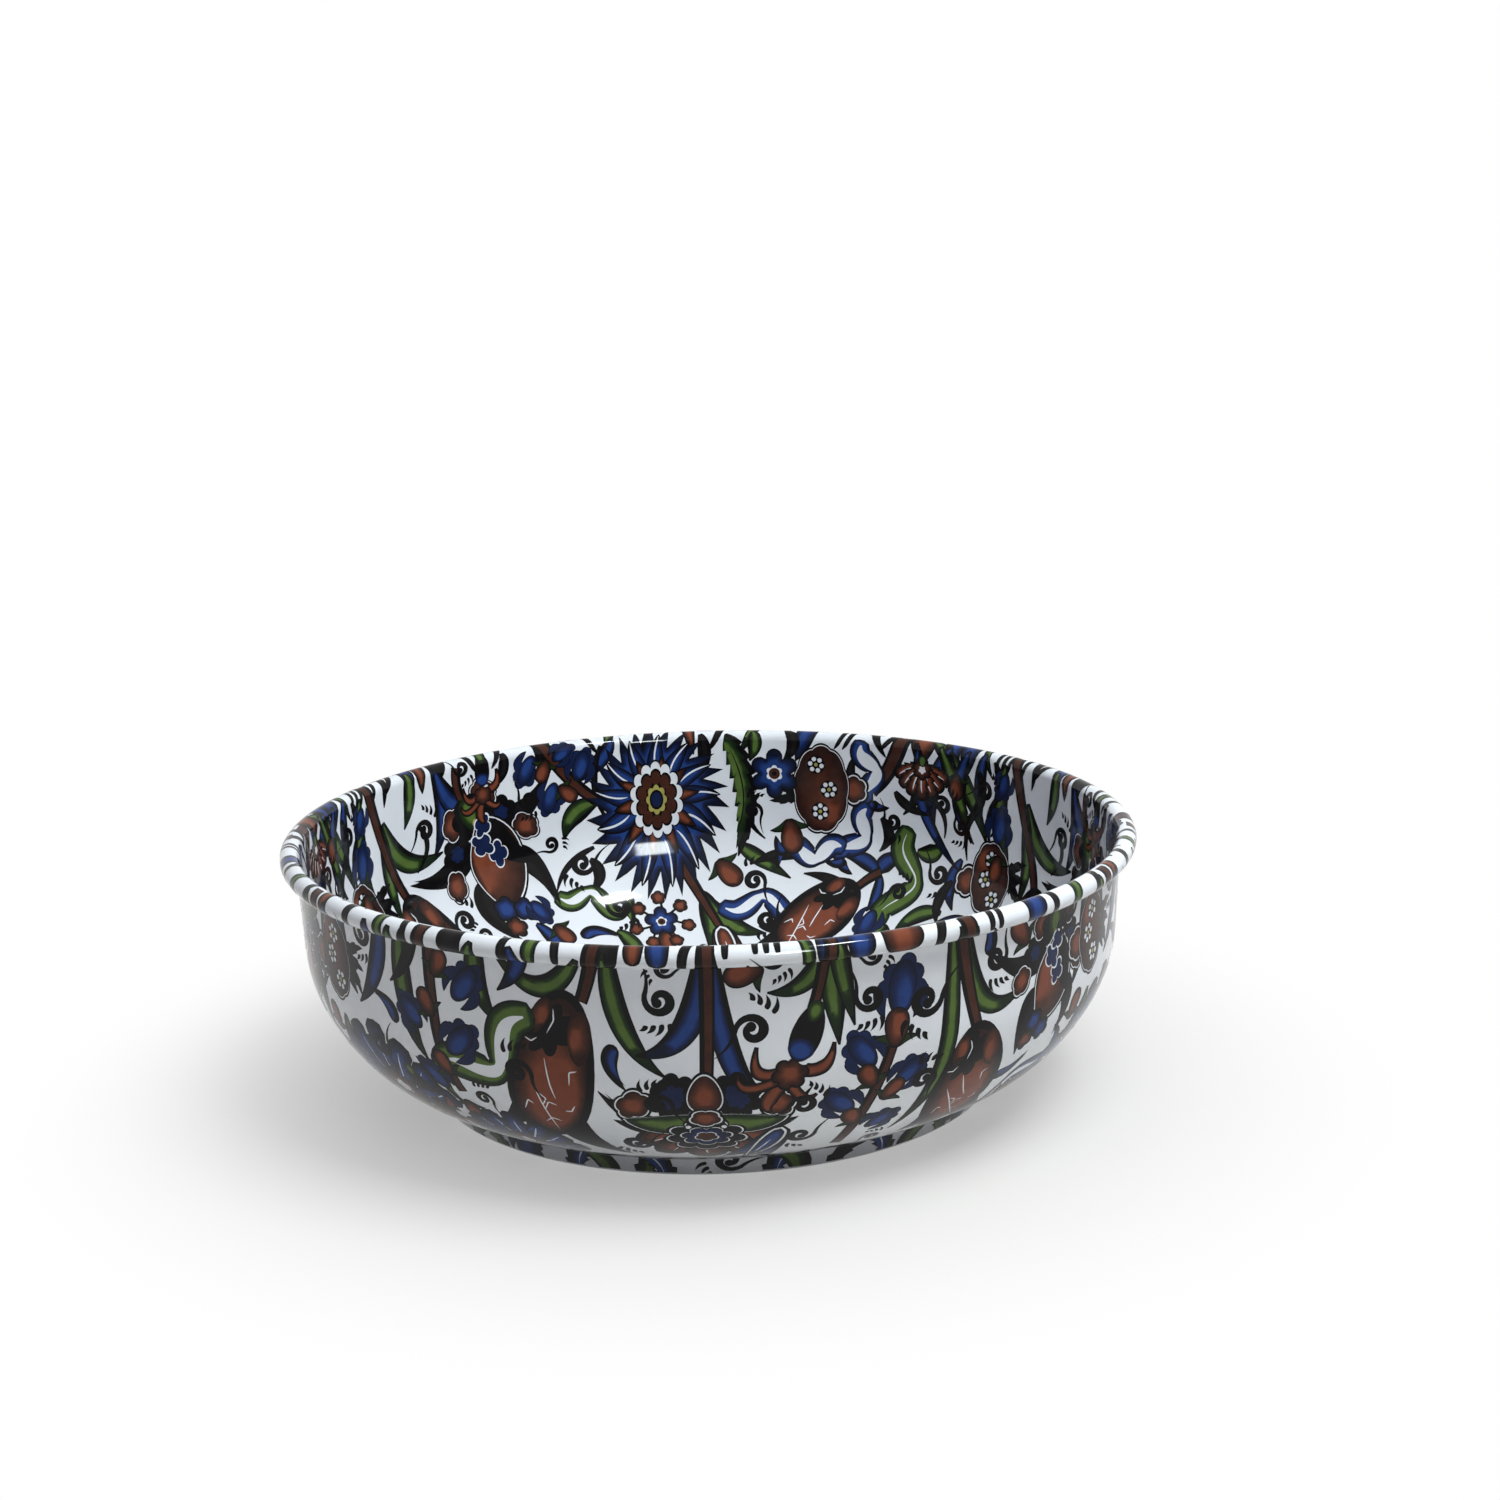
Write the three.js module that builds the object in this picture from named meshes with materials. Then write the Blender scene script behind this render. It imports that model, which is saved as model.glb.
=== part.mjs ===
// Serving bowl: enamelled sheet steel, pressed in one piece with a stepped foot and a curled rim.
// Millimetres, +Z up, origin at the centre of the standing ring on the table.
import * as THREE from 'three';
import { mergeVertices } from 'three/addons/utils/BufferGeometryUtils.js';

// Overall sizes, measured over the enamel
const RIM_DIAMETER = 260;
const BOWL_HEIGHT = 80.5;
const BEAD_DIAMETER = 6;

// Wall and belly
const WALL_DRAFT = THREE.MathUtils.degToRad(2.7);
const SHOULDER_HEIGHT = 39.9;
const SHOULDER_FILLET = 42;
const BELLY_SAG = 7.6;
const BELLY_ALONG = 0.38;
const BELLY_FILLET = 56;

// Pressed foot
const CREASE_DIAMETER = 178.4;
const CREASE_HEIGHT = 6.25;
const CREASE_FILLET = 1.2;
const FOOT_DIAMETER = 172.2;
const FOOT_FILLET = 2.5;
const RING_WIDTH = 8;
const PANEL_RISE = 1.2;
const PANEL_STEP = 3;
const PANEL_FILLET = 2;

// Sheet and coats
const SHEET = 0.7;
const COAT = 0.25;
const BOND = 0.05;
const COAT_JOINT = 0.06;

// Rolled rim: how far round the curl runs past its outermost point, and the gap left to the wall
const CURL_PAST = THREE.MathUtils.degToRad(118);
const CURL_TUCK = 2;

// Smoothness
const TURN_STEPS = 44;
const CURL_STEPS = 8;
const MAX_ARC_STEPS = 4;
const ARC_STEP = THREE.MathUtils.degToRad(14);

// Depths below the outer face of the enamel
const DEPTH = {
  outerFace: 0,
  outerBack: COAT,
  steelOut: COAT + BOND,
  steelIn: COAT + BOND + SHEET,
  innerBack: COAT + 2 * BOND + SHEET,
  innerFace: 2 * COAT + 2 * BOND + SHEET,
};

// Curl of the rim: its centre, and the way from there to the inside of the wall
const CURL = new THREE.Vector2((RIM_DIAMETER - BEAD_DIAMETER) / 2, BOWL_HEIGHT - BEAD_DIAMETER / 2);
const WALL_SIDE = Math.PI - WALL_DRAFT;
const curlPoint = (radius, angle) =>
  new THREE.Vector2(radius * Math.cos(angle), radius * Math.sin(angle)).add(CURL);

// Corners of the bowl's outer face, from the middle of the base to the rim
function outerCorners() {
  const foot = FOOT_DIAMETER / 2;
  const top = curlPoint(BEAD_DIAMETER / 2 - DEPTH.innerFace, WALL_SIDE);
  const shoulderRadius = top.x - (top.y - SHOULDER_HEIGHT) * Math.tan(WALL_DRAFT);
  const shoulder = new THREE.Vector2(shoulderRadius, SHOULDER_HEIGHT);
  const crease = new THREE.Vector2(CREASE_DIAMETER / 2, CREASE_HEIGHT);
  const chord = shoulder.clone().sub(crease).normalize();
  const belly = crease.clone().lerp(shoulder, BELLY_ALONG);
  belly.add(new THREE.Vector2(chord.y, -chord.x).multiplyScalar(BELLY_SAG));
  return [
    { name: 'middle', at: new THREE.Vector2(0, PANEL_RISE), fillet: 0 },
    { name: 'panel', at: new THREE.Vector2(foot - RING_WIDTH - PANEL_STEP, PANEL_RISE), fillet: PANEL_FILLET },
    { name: 'ring', at: new THREE.Vector2(foot - RING_WIDTH, 0), fillet: PANEL_FILLET },
    { name: 'foot', at: new THREE.Vector2(foot, 0), fillet: FOOT_FILLET },
    { name: 'crease', at: crease, fillet: CREASE_FILLET },
    { name: 'belly', at: belly, fillet: BELLY_FILLET },
    { name: 'shoulder', at: shoulder, fillet: SHOULDER_FILLET },
    { name: 'top', at: top, fillet: 0 },
  ];
}

// Unit vector from one corner to the next
const heading = (from, to) => to.at.clone().sub(from.at).normalize();

// How far the outline turns at a corner, anticlockwise positive
function turnAt(corners, i) {
  const before = heading(corners[i - 1], corners[i]);
  const after = heading(corners[i], corners[i + 1]);
  return Math.atan2(before.cross(after), before.dot(after));
}

// Corners whose fillets fit between their neighbours
function fitFillets(corners) {
  const last = corners.length - 1;
  const reach = corners.map((corner, i) =>
    i === 0 || i === last ? 0 : corner.fillet * Math.tan(Math.abs(turnAt(corners, i)) / 2));
  const share = corners.map(() => 1);
  for (let i = 0; i < last; i += 1) {
    const length = corners[i].at.distanceTo(corners[i + 1].at);
    const fit = Math.min(1, (0.97 * length) / Math.max(reach[i] + reach[i + 1], 1e-6));
    share[i] = Math.min(share[i], fit);
    share[i + 1] = Math.min(share[i + 1], fit);
  }
  return corners.map((corner, i) => ({ ...corner, fillet: corner.fillet * share[i] }));
}

// The same outline at a depth inside the outer face: lines move over, fillets grow or shrink
function atDepth(corners, depth) {
  const inward = (a, b) => {
    const along = heading(a, b);
    return new THREE.Vector2(-along.y, along.x);
  };
  const last = corners.length - 1;
  return corners.map((corner, i) => {
    const before = inward(corners[Math.max(i - 1, 0)], corners[Math.max(i, 1)]);
    const after = inward(corners[Math.min(i, last - 1)], corners[Math.min(i + 1, last)]);
    const miter = before.clone().add(after).multiplyScalar(1 / (1 + before.dot(after)));
    const grow = i === 0 || i === last ? 0 : -Math.sign(turnAt(corners, i)) * depth;
    return { ...corner, at: corner.at.clone().addScaledVector(miter, depth), fillet: corner.fillet + grow };
  });
}

// Points along a rounded corner, with as many steps as its turn needs
function cornerPoints(corners, i) {
  const { at, fillet } = corners[i];
  if (i === 0 || i === corners.length - 1) return [at.clone()];
  const turn = turnAt(corners, i);
  const steps = Math.min(MAX_ARC_STEPS, Math.max(1, Math.round(Math.abs(turn) / ARC_STEP)));
  const before = heading(corners[i - 1], corners[i]);
  const start = at.clone().addScaledVector(before, -fillet * Math.tan(Math.abs(turn) / 2));
  const side = new THREE.Vector2(-before.y, before.x).multiplyScalar(Math.sign(turn) * fillet);
  const centre = start.clone().add(side);
  return Array.from({ length: steps + 1 }, (_, k) => start.clone().rotateAround(centre, (turn * k) / steps));
}

// Outline at a depth, as points grouped by corner name
function outline(depth) {
  const corners = atDepth(OUTER, depth);
  return Object.fromEntries(corners.map((corner, i) => [corner.name, cornerPoints(corners, i)]));
}

const OUTER = fitFillets(outerCorners());
const FACES = Object.fromEntries(Object.entries(DEPTH).map(([face, depth]) => [face, outline(depth)]));
const BASE_RUN = ['middle', 'panel', 'ring'];
const WALL_RUN = ['crease', 'belly', 'shoulder'];
const run = (face, names) => names.flatMap((name) => FACES[face][name]);

// Arc of the curl between two angles
function curlArc(radius, from, to) {
  return Array.from({ length: CURL_STEPS + 1 }, (_, k) =>
    curlPoint(radius, THREE.MathUtils.lerp(from, to, k / CURL_STEPS)));
}

// Closed solid of revolution from the points of its half section, given anticlockwise
function turned(points) {
  const lathe = new THREE.LatheGeometry(points, TURN_STEPS);
  lathe.deleteAttribute('normal');
  lathe.deleteAttribute('uv');
  lathe.rotateX(Math.PI / 2);
  const merged = mergeVertices(lathe, 1e-3);
  const index = merged.getIndex().array;
  const kept = [];
  for (let i = 0; i < index.length; i += 3) {
    const [a, b, c] = [index[i], index[i + 1], index[i + 2]];
    if (a !== b && b !== c && c !== a) kept.push(a, b, c);
  }
  merged.setIndex(kept);
  merged.computeVertexNormals();
  return merged;
}

// Pressed sheet: base, foot, wall and the open curl of the rim
function steelShell() {
  const bead = BEAD_DIAMETER / 2 - DEPTH.steelOut;
  const outside = run('steelOut', [...BASE_RUN, 'foot', ...WALL_RUN]);
  const inside = run('steelIn', [...BASE_RUN, 'foot', ...WALL_RUN]).reverse();
  const curlInside = curlArc(bead - SHEET, WALL_SIDE, -CURL_PAST);
  const curlOutside = curlArc(bead, -CURL_PAST, WALL_SIDE);
  return turned([...outside, ...curlInside, ...curlOutside, ...inside]);
}

// White coat inside the bowl, up to where the rim starts to roll over
function innerEnamel() {
  const back = run('innerBack', [...BASE_RUN, 'foot', ...WALL_RUN, 'top']);
  const face = run('innerFace', [...BASE_RUN, 'foot', ...WALL_RUN, 'top']).reverse();
  return turned([...back, ...face]);
}

// White coat outside the bowl, from the edge of the foot up into the hollow of the curl
function outerEnamel() {
  const tuck = (face) => {
    const top = FACES[face].top[0];
    const drop = top.y - (CURL.y - CURL_TUCK);
    return new THREE.Vector2(top.x - drop * Math.tan(WALL_DRAFT), top.y - drop);
  };
  const edge = (face) => FACES[face].foot.slice(1);
  const face = [...edge('outerFace'), ...run('outerFace', WALL_RUN), tuck('outerFace')];
  const back = [...edge('outerBack'), ...run('outerBack', WALL_RUN), tuck('outerBack')].reverse();
  return turned([...face, ...back, face[0].clone()]);
}

// White coat rolled round the bead of the rim
function rimEnamel() {
  const bead = BEAD_DIAMETER / 2;
  const start = WALL_SIDE - COAT_JOINT / bead;
  const back = curlArc(bead - COAT, start, -CURL_PAST);
  const face = curlArc(bead, -CURL_PAST, start);
  return turned([...back, ...face, back[0].clone()]);
}

// White coat under the base, with the flat ring that the bowl stands on
function baseEnamel() {
  const reach = (face) => {
    const [start, next] = FACES[face].foot;
    const gap = COAT_JOINT / start.distanceTo(next);
    return [start, next.clone().lerp(start, gap)];
  };
  const face = [...run('outerFace', BASE_RUN), ...reach('outerFace')];
  const back = [...run('outerBack', BASE_RUN), ...reach('outerBack')].reverse();
  return turned([...face, ...back]);
}

// Finishes
const STEEL = { color: 0x6f7378, roughness: 0.45, metalness: 1 };
const ENAMEL = { color: 0xe9ebee, roughness: 0.14, metalness: 0 };

const PIECES = [
  ['steel_shell', steelShell, STEEL],
  ['inner_enamel', innerEnamel, ENAMEL],
  ['outer_enamel', outerEnamel, ENAMEL],
  ['rim_enamel', rimEnamel, ENAMEL],
  ['base_enamel', baseEnamel, ENAMEL],
];

const bowl = new THREE.Group();
bowl.name = 'serving_bowl';
for (const [name, build, finish] of PIECES) {
  const piece = new THREE.Mesh(build(), new THREE.MeshStandardMaterial(finish));
  piece.name = name;
  bowl.add(piece);
}

export default bowl;
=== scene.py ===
import math
import random

import bpy
import numpy as np
from mathutils import Matrix
from mathutils.geometry import delaunay_2d_cdt


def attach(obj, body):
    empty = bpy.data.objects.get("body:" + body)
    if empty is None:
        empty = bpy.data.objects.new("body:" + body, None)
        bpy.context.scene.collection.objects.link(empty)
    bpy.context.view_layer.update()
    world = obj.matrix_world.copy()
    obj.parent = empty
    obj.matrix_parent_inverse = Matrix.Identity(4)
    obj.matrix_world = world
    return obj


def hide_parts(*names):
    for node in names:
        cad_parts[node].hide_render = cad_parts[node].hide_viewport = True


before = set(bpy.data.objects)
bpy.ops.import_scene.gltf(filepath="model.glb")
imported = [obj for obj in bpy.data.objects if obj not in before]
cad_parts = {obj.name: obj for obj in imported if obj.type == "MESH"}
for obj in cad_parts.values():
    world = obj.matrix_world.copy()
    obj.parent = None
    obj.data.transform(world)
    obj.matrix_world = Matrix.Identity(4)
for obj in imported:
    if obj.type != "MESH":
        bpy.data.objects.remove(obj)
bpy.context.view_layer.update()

# Enamelled serving bowl: sizes in millimetres, pieces in metres, standing ring on Z = 0

TAU = 2 * math.pi
RIM_RADIUS = 130.0
BOWL_HEIGHT = 80.5
BEAD_RADIUS = 3.0
WALL_DRAFT = math.radians(2.7)
SHOULDER_HEIGHT, SHOULDER_FILLET = 39.9, 42.0
BELLY_SAG, BELLY_ALONG, BELLY_FILLET = 7.6, 0.38, 56.0
CREASE_RADIUS, CREASE_HEIGHT, CREASE_FILLET = 89.2, 6.25, 1.2
FOOT_RADIUS, FOOT_FILLET = 86.1, 2.5
RING_WIDTH, PANEL_RISE, PANEL_STEP, PANEL_FILLET = 8.0, 1.2, 3.0, 2.0
THICKNESS = 1.3
COAT = 0.25
STEEL_DEPTH = 0.3
GLAZE_FILLET = 0.6
CURL_MIDDLE = np.array((RIM_RADIUS - BEAD_RADIUS, BOWL_HEIGHT - BEAD_RADIUS))

# Facets
TURN_STEPS = 144
ARC_STEP = math.radians(11)
ARC_LENGTH = 3.2
LONGEST_STEP = 6.0
BEAD_STEPS_IN, BEAD_STEPS_OUT, GLAZE_STEPS = 9, 20, 4
ROLL_STEPS, TUCK_STEPS = 24, 20
SMOOTH_ANGLE = math.radians(40)
WELD = 2e-6

# Transfer print: one repeat goes three times round the bowl
REPEATS = 3
REPEAT_DEGREES = 360 / REPEATS
OUTSIDE_START, INSIDE_START = -107.5, 37.5
PRINT_RADIUS = 125.0
REPEAT_WIDTH = TAU * PRINT_RADIUS / REPEATS
PRINT_HEIGHT = 0.035
PRINT_FOOT_END = 100.3
FLOOR_EDGE = 89.1
KEYLINE = 0.55
EVEN_WASH = 0.35
LINE_SLACK = 0.2
PRINT_WELD = 1e-4
STRAIGHT_ENOUGH = 0.03
LEAST_AREA = 1e-6
PIGMENTS = ("dark", "cobalt", "red", "green", "yellow")


# Section of the bowl


def unit(v):
    return v / np.linalg.norm(v)


def outer_corners():
    """Corners of the outer face with their fillets, from the middle of the base to the rim."""
    side = math.pi - WALL_DRAFT
    top = CURL_MIDDLE + (BEAD_RADIUS - THICKNESS) * np.array((math.cos(side), math.sin(side)))
    shoulder = np.array((top[0] - (top[1] - SHOULDER_HEIGHT) * math.tan(WALL_DRAFT), SHOULDER_HEIGHT))
    crease = np.array((CREASE_RADIUS, CREASE_HEIGHT))
    chord = unit(shoulder - crease)
    belly = crease + BELLY_ALONG * (shoulder - crease) + BELLY_SAG * np.array((chord[1], -chord[0]))
    ring = FOOT_RADIUS - RING_WIDTH
    return [((0.0, PANEL_RISE), 0.0), ((ring - PANEL_STEP, PANEL_RISE), PANEL_FILLET), ((ring, 0.0), PANEL_FILLET),
            ((FOOT_RADIUS, 0.0), FOOT_FILLET), (crease, CREASE_FILLET), (belly, BELLY_FILLET),
            (shoulder, SHOULDER_FILLET), (top, 0.0)]


def wall_face(depth):
    """Points of the section at a depth under the outer face, from the middle of the base to the rim."""
    corners = outer_corners()
    at = np.array([c for c, _ in corners], float)
    last = len(at) - 1
    along = [unit(at[i + 1] - at[i]) for i in range(last)]
    inward = [np.array((-a[1], a[0])) for a in along]
    points = []
    for i in range(last + 1):
        before, after = inward[max(i - 1, 0)], inward[min(i, last - 1)]
        corner = at[i] + depth * (before + after) / (1 + before @ after)
        if i in (0, last):
            points.append(corner)
            continue
        a, b = along[i - 1], along[i]
        turn = math.atan2(a[0] * b[1] - a[1] * b[0], a @ b)
        fillet = corners[i][1] - math.copysign(depth, turn)
        start = corner - a * fillet * math.tan(abs(turn) / 2)
        centre = start + inward[i - 1] * math.copysign(fillet, turn)
        steps = max(2, round(abs(turn) / ARC_STEP), round(abs(turn) * fillet / ARC_LENGTH))
        for k in range(steps + 1):
            q, d = turn * k / steps, start - centre
            points.append(centre + (d[0] * math.cos(q) - d[1] * math.sin(q), d[0] * math.sin(q) + d[1] * math.cos(q)))
    return np.array(points)


def arc(centre, radius, start, end, steps):
    a = np.linspace(start, end, steps + 1)
    return np.column_stack((centre[0] + radius * np.cos(a), centre[1] + radius * np.sin(a)))


def split_long(points):
    """More points on long straight stretches."""
    out = [points[0]]
    for a, b in zip(points, points[1:]):
        n = max(1, math.ceil(np.linalg.norm(b - a) / LONGEST_STEP))
        out += [a + (b - a) * k / n for k in range(1, n + 1)]
    return np.array(out)


def bead_outside():
    """Bead from its crown outwards and down, with the small fillet of glaze where it meets the wall."""
    across = BEAD_RADIUS - THICKNESS - GLAZE_FILLET
    drop = math.sqrt((BEAD_RADIUS + GLAZE_FILLET) ** 2 - across**2)
    c, s = math.cos(WALL_DRAFT), math.sin(WALL_DRAFT)
    centre = CURL_MIDDLE + np.array((-across * c - drop * s, across * s - drop * c))
    end = math.atan2(*(centre - CURL_MIDDLE)[::-1])
    back = math.atan2(*(CURL_MIDDLE - centre)[::-1])
    bead = arc(CURL_MIDDLE, BEAD_RADIUS, math.pi / 2, end, BEAD_STEPS_OUT)
    return np.vstack((bead, arc(centre, GLAZE_FILLET, back, math.pi - WALL_DRAFT, GLAZE_STEPS)[1:]))


def outside_section():
    """Outer face from the crown of the bead down to the standing ring."""
    bead = bead_outside()
    wall = [p for p in wall_face(0.0)[::-1][1:] if p[0] > FOOT_RADIUS - RING_WIDTH + 0.5 and p[1] < bead[-1][1]]
    return split_long(np.vstack((bead, wall)))


def inside_section():
    """Inner face from the crown of the bead down to the middle of the floor."""
    bead = arc(CURL_MIDDLE, BEAD_RADIUS, math.pi / 2, math.pi - WALL_DRAFT, BEAD_STEPS_IN)
    return split_long(np.vstack((bead, wall_face(THICKNESS)[::-1][1:])))


def lengths(path):
    return np.concatenate(((0.0,), np.cumsum(np.linalg.norm(np.diff(path, axis=0), axis=1))))


def path_normals(path):
    """Unit normals on the left of a path, at its points."""
    step = np.diff(path, axis=0)
    step = step / np.linalg.norm(step, axis=1)[:, None]
    side = np.column_stack((-step[:, 1], step[:, 0]))
    both = np.vstack((side[:1], side)) + np.vstack((side, side[-1:]))
    return both / np.linalg.norm(both, axis=1)[:, None]


OUTSIDE = outside_section()
INSIDE = inside_section()
INSIDE_LENGTH = lengths(INSIDE)[-1]


# Line work: outlines are arrays of points in millimetres, with the stem end at the origin and growth along +Y.
# A shape is a colour, its outline, and the core where its wash is thinnest, or None for an even wash.


def bezier(start, pull, end, count=22):
    t = np.linspace(0, 1, count)[:, None]
    start, pull, end = (np.asarray(p, float) for p in (start, pull, end))
    return (1 - t) ** 2 * start + 2 * t * (1 - t) * pull + t * t * end


def ribbon(spine, widths):
    """Strip of changing width along a spine."""
    along = np.gradient(spine, axis=0)
    along /= np.linalg.norm(along, axis=1)[:, None]
    side = np.column_stack((-along[:, 1], along[:, 0])) * (np.broadcast_to(widths, len(spine)) / 2)[:, None]
    return np.vstack((spine + side, (spine - side)[::-1]))


def blade(length, width, bend=0.0, teeth=0, bite=0.4, grow=0.0, full=0.5, tip=1.0):
    """Leaf or petal that curves to one side, with saw teeth where asked."""
    if teeth:
        t = np.unique([(k + part) / teeth for k in range(teeth) for part in (0, 0.5, 0.93)] + [1.0])
    else:
        t = np.linspace(0, 1, 20)
    spine = (2 * t * (1 - t))[:, None] * np.array((-0.25 * bend * length, 0.5 * length))
    spine = spine + (t * t)[:, None] * np.array((bend * length, length * (1 - 0.25 * abs(bend))))
    swell = t**full * (1 - t) ** tip
    swell = swell / swell.max()
    if teeth:
        swell = swell * (1 - bite * (1 - (t * teeth) % 1))
    if grow:
        spine = spine + np.outer(np.linspace(-grow, grow * 1.6, len(t)), (bend * 0.5, 1))
    return ribbon(spine, width * swell + 2 * grow * np.minimum(1, 0.35 + 5 * (1 - t)))


def around(angles, radius):
    """Closed outline round the origin, from the top clockwise."""
    return np.column_stack((radius * np.sin(angles), radius * np.cos(angles)))


def lobes(count, radius, depth, sharp=1.0):
    """Round flower outline with a number of lobes."""
    a = np.linspace(0, TAU, count * 8, endpoint=False)
    return around(a, radius * (1 - depth + depth * np.abs(np.cos(a * count / 2)) ** sharp))


def saw_disc(teeth, radius, bite):
    """Disc with a saw-tooth edge."""
    a = np.concatenate([(np.array((0, 0.45, 0.92)) + k) / teeth for k in range(teeth)]) * TAU
    return around(a, radius * (1 - bite * np.tile((1.0, 0.55, 0.0), teeth)))


def egg(width, length, lean=0.12):
    """Oval that stands on the origin, wider below, or above where the lean is negative."""
    a = np.linspace(0, TAU, 36, endpoint=False)
    return np.column_stack((width / 2 * np.sin(a) * (1 + lean * np.cos(a)), length / 2 * (1 - np.cos(a))))


def disc(radius, count=14):
    a = np.linspace(0, TAU, count, endpoint=False)
    return np.column_stack((radius * np.cos(a), radius * np.sin(a)))


def spoke(out, angle):
    """Place at a distance from the origin, at an angle clockwise from +Y."""
    return out * np.array((math.sin(angle), math.cos(angle)))


def moved(outline, x=0.0, y=0.0, turn=0.0, stretch=1.0):
    """Outline stretched along Y, turned clockwise by degrees and shifted."""
    a = math.radians(turn)
    p = outline * np.array((1, stretch))
    return np.column_stack((p[:, 0] * math.cos(a) + p[:, 1] * math.sin(a) + x,
                            -p[:, 0] * math.sin(a) + p[:, 1] * math.cos(a) + y))


def reshaped(shapes, change):
    """Shapes with every outline and core changed in the same way."""
    return [(colour, *(None if o is None else change(o) for o in outlines)) for colour, *outlines in shapes]


def arrange(shapes, x=0.0, y=0.0, turn=0.0, flip=False):
    """Shapes of an ornament, moved together."""
    mirror = np.array((-1 if flip else 1, 1))
    return reshaped(shapes, lambda o: moved(o * mirror, x, y, turn))


def centred(shapes):
    """Ornament with its middle at the origin."""
    p = np.vstack([o for _, o, _ in shapes])
    return arrange(shapes, *(-(p.min(0) + p.max(0)) / 2))


def line(spine, width, colour="white"):
    """Thin line with tapered ends."""
    t = np.linspace(0, 1, len(spine))
    ends = np.minimum(1, 3.5 * np.minimum(t, np.linspace(1, 0, len(spine))) + 0.25)
    return (colour, ribbon(spine, width * ends), None)


def inked(colour, length, width, bend=0.0, core=None, grow=KEYLINE, **form):
    """Blade of a colour inside a dark outline."""
    return [("dark", blade(length, width, bend, grow=grow, **form), None),
            (colour, blade(length, width, bend, **form), core)]


def rimmed(colour, outline, core=None, pale=0.5, dark=0.9):
    """Shape with a pale contour inside a dark one."""
    middle = outline.mean(0)
    reach = np.abs(outline - middle).max()
    grown = [(outline - middle) * (1 + k / reach) + middle for k in (pale + dark, pale)]
    return [("dark", grown[0], None), ("white", grown[1], None), (colour, outline, core)]


# Ornaments


def leaf(colour, length, width, bend, teeth=0):
    """Leaf with a broad shadow along the outer side of its curve, and a vein if it is broad and toothed."""
    side = 1 if bend >= 0 else -1
    width, bend = 0.76 * width, 1.3 * bend
    tip = 0.9 if teeth else 1.3
    shadow = blade(length * 1.05, width * 1.24, bend * 1.02, teeth, grow=KEYLINE, tip=tip)
    core = moved(blade(length * 0.8, width * 0.36, bend), 0.12 * width * side, length * 0.06)
    shapes = [("dark", moved(shadow, -0.1 * width * side), None),
              (colour, blade(length, width, bend, teeth, tip=tip), core)]
    if width > 5 and teeth:
        spine = bezier((0, length * 0.12), (-0.12 * bend * length, length * 0.55),
                       (bend * length * 0.8, length * 0.86 * (1 - 0.22 * abs(bend))))
        shapes.append(line(spine, 0.5, "dark" if colour == "green" else "white"))
    return shapes


# Tips: x, y, turn, length, width and bend; cracks: three points; both as shares of the flower's width and length
TULIP_TIPS = (
    (-0.22, 0.66, -8, 0.56, 0.42, -0.5), (0.05, 0.78, 3, 0.4, 0.4, 0.2), (0.25, 0.7, 6, 0.34, 0.34, 0.4),
)
TULIP_CRACKS = (
    ((0.1, 0.4), (0.0, 0.55), (-0.08, 0.64)), ((0.26, 0.5), (0.06, 0.72), (-0.14, 0.92)),
    ((0.06, 0.72), (0.03, 0.66), (0.13, 0.63)), ((-0.28, 0.42), (-0.2, 0.44), (-0.22, 0.52)),
    ((-0.1, 0.69), (0.0, 0.68), (0.03, 0.75)), ((0.17, 0.73), (0.24, 0.71), (0.27, 0.79)),
    ((0.1, 0.12), (0.07, 0.18), (0.12, 0.26)), ((0.22, 0.3), (0.28, 0.33), (0.36, 0.32)),
    ((-0.3, 0.66), (-0.27, 0.71), (-0.2, 0.72)), ((-0.16, 0.82), (-0.05, 0.81), (0.02, 0.86)),
)


def tulip(length, width):
    """Large tulip head: dark tips, a broad dark border, red petals parted by shadow, and scratched white lines."""
    shapes = [("dark", moved(blade(length * size, width * wide, bend), x * width, y * length, turn), None)
              for x, y, turn, size, wide, bend in TULIP_TIPS]
    shapes += [("dark", egg(width, length, -0.1), None),
               ("red", moved(egg(width - 4.4, length - 4.6, -0.1), 0, 2.6),
                moved(egg(width * 0.5, length * 0.5), -0.06 * width, length * 0.38)),
               ("dark", moved(lobes(7, width * 0.27, 0.34, 1.2), 0.1 * width, length * 0.24, 30, 1.3), None),
               ("red", moved(egg(width * 0.27, length * 0.3), -width * 0.19, length * 0.09, -10),
                moved(egg(2, 5), -width * 0.2, length * 0.2)),
               ("red", moved(egg(width * 0.2, length * 0.22), width * 0.18, length * 0.07, 14),
                moved(egg(2, 4), width * 0.2, length * 0.13))]
    for crack in TULIP_CRACKS:
        path = np.array(crack) * (width, length)
        steps = np.linspace(0, len(path) - 1, 4 * len(path))
        spine = np.column_stack([np.interp(steps, np.arange(len(path)), path[:, n]) for n in (0, 1)])
        shapes.append(line(spine, 0.42))
    return shapes


def slim_tulip(colour, length=24.0, width=13.0):
    """Closed tulip: two outer petals and a middle one with a pale edge."""
    shapes = []
    for side in (-1, 1):
        petal = arrange(inked(colour, length, width * 0.6, 0.2 * side), turn=4 * side)
        core = moved(blade(length * 0.7, width * 0.24, 0.2 * side), 0, length * 0.1, 4 * side)
        shapes += [petal[0], (*petal[1][:2], core)]
    shapes += inked("white", length * 0.96, width * 0.5)
    shapes += [(colour, moved(blade(length * 0.88, width * 0.4), 0, 0.8),
                moved(blade(length * 0.6, width * 0.16), 0, length * 0.14)),
               line(bezier((0, length * 0.3), (0.3, length * 0.5), (0, length * 0.72), 8), 0.5)]
    return shapes


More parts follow.
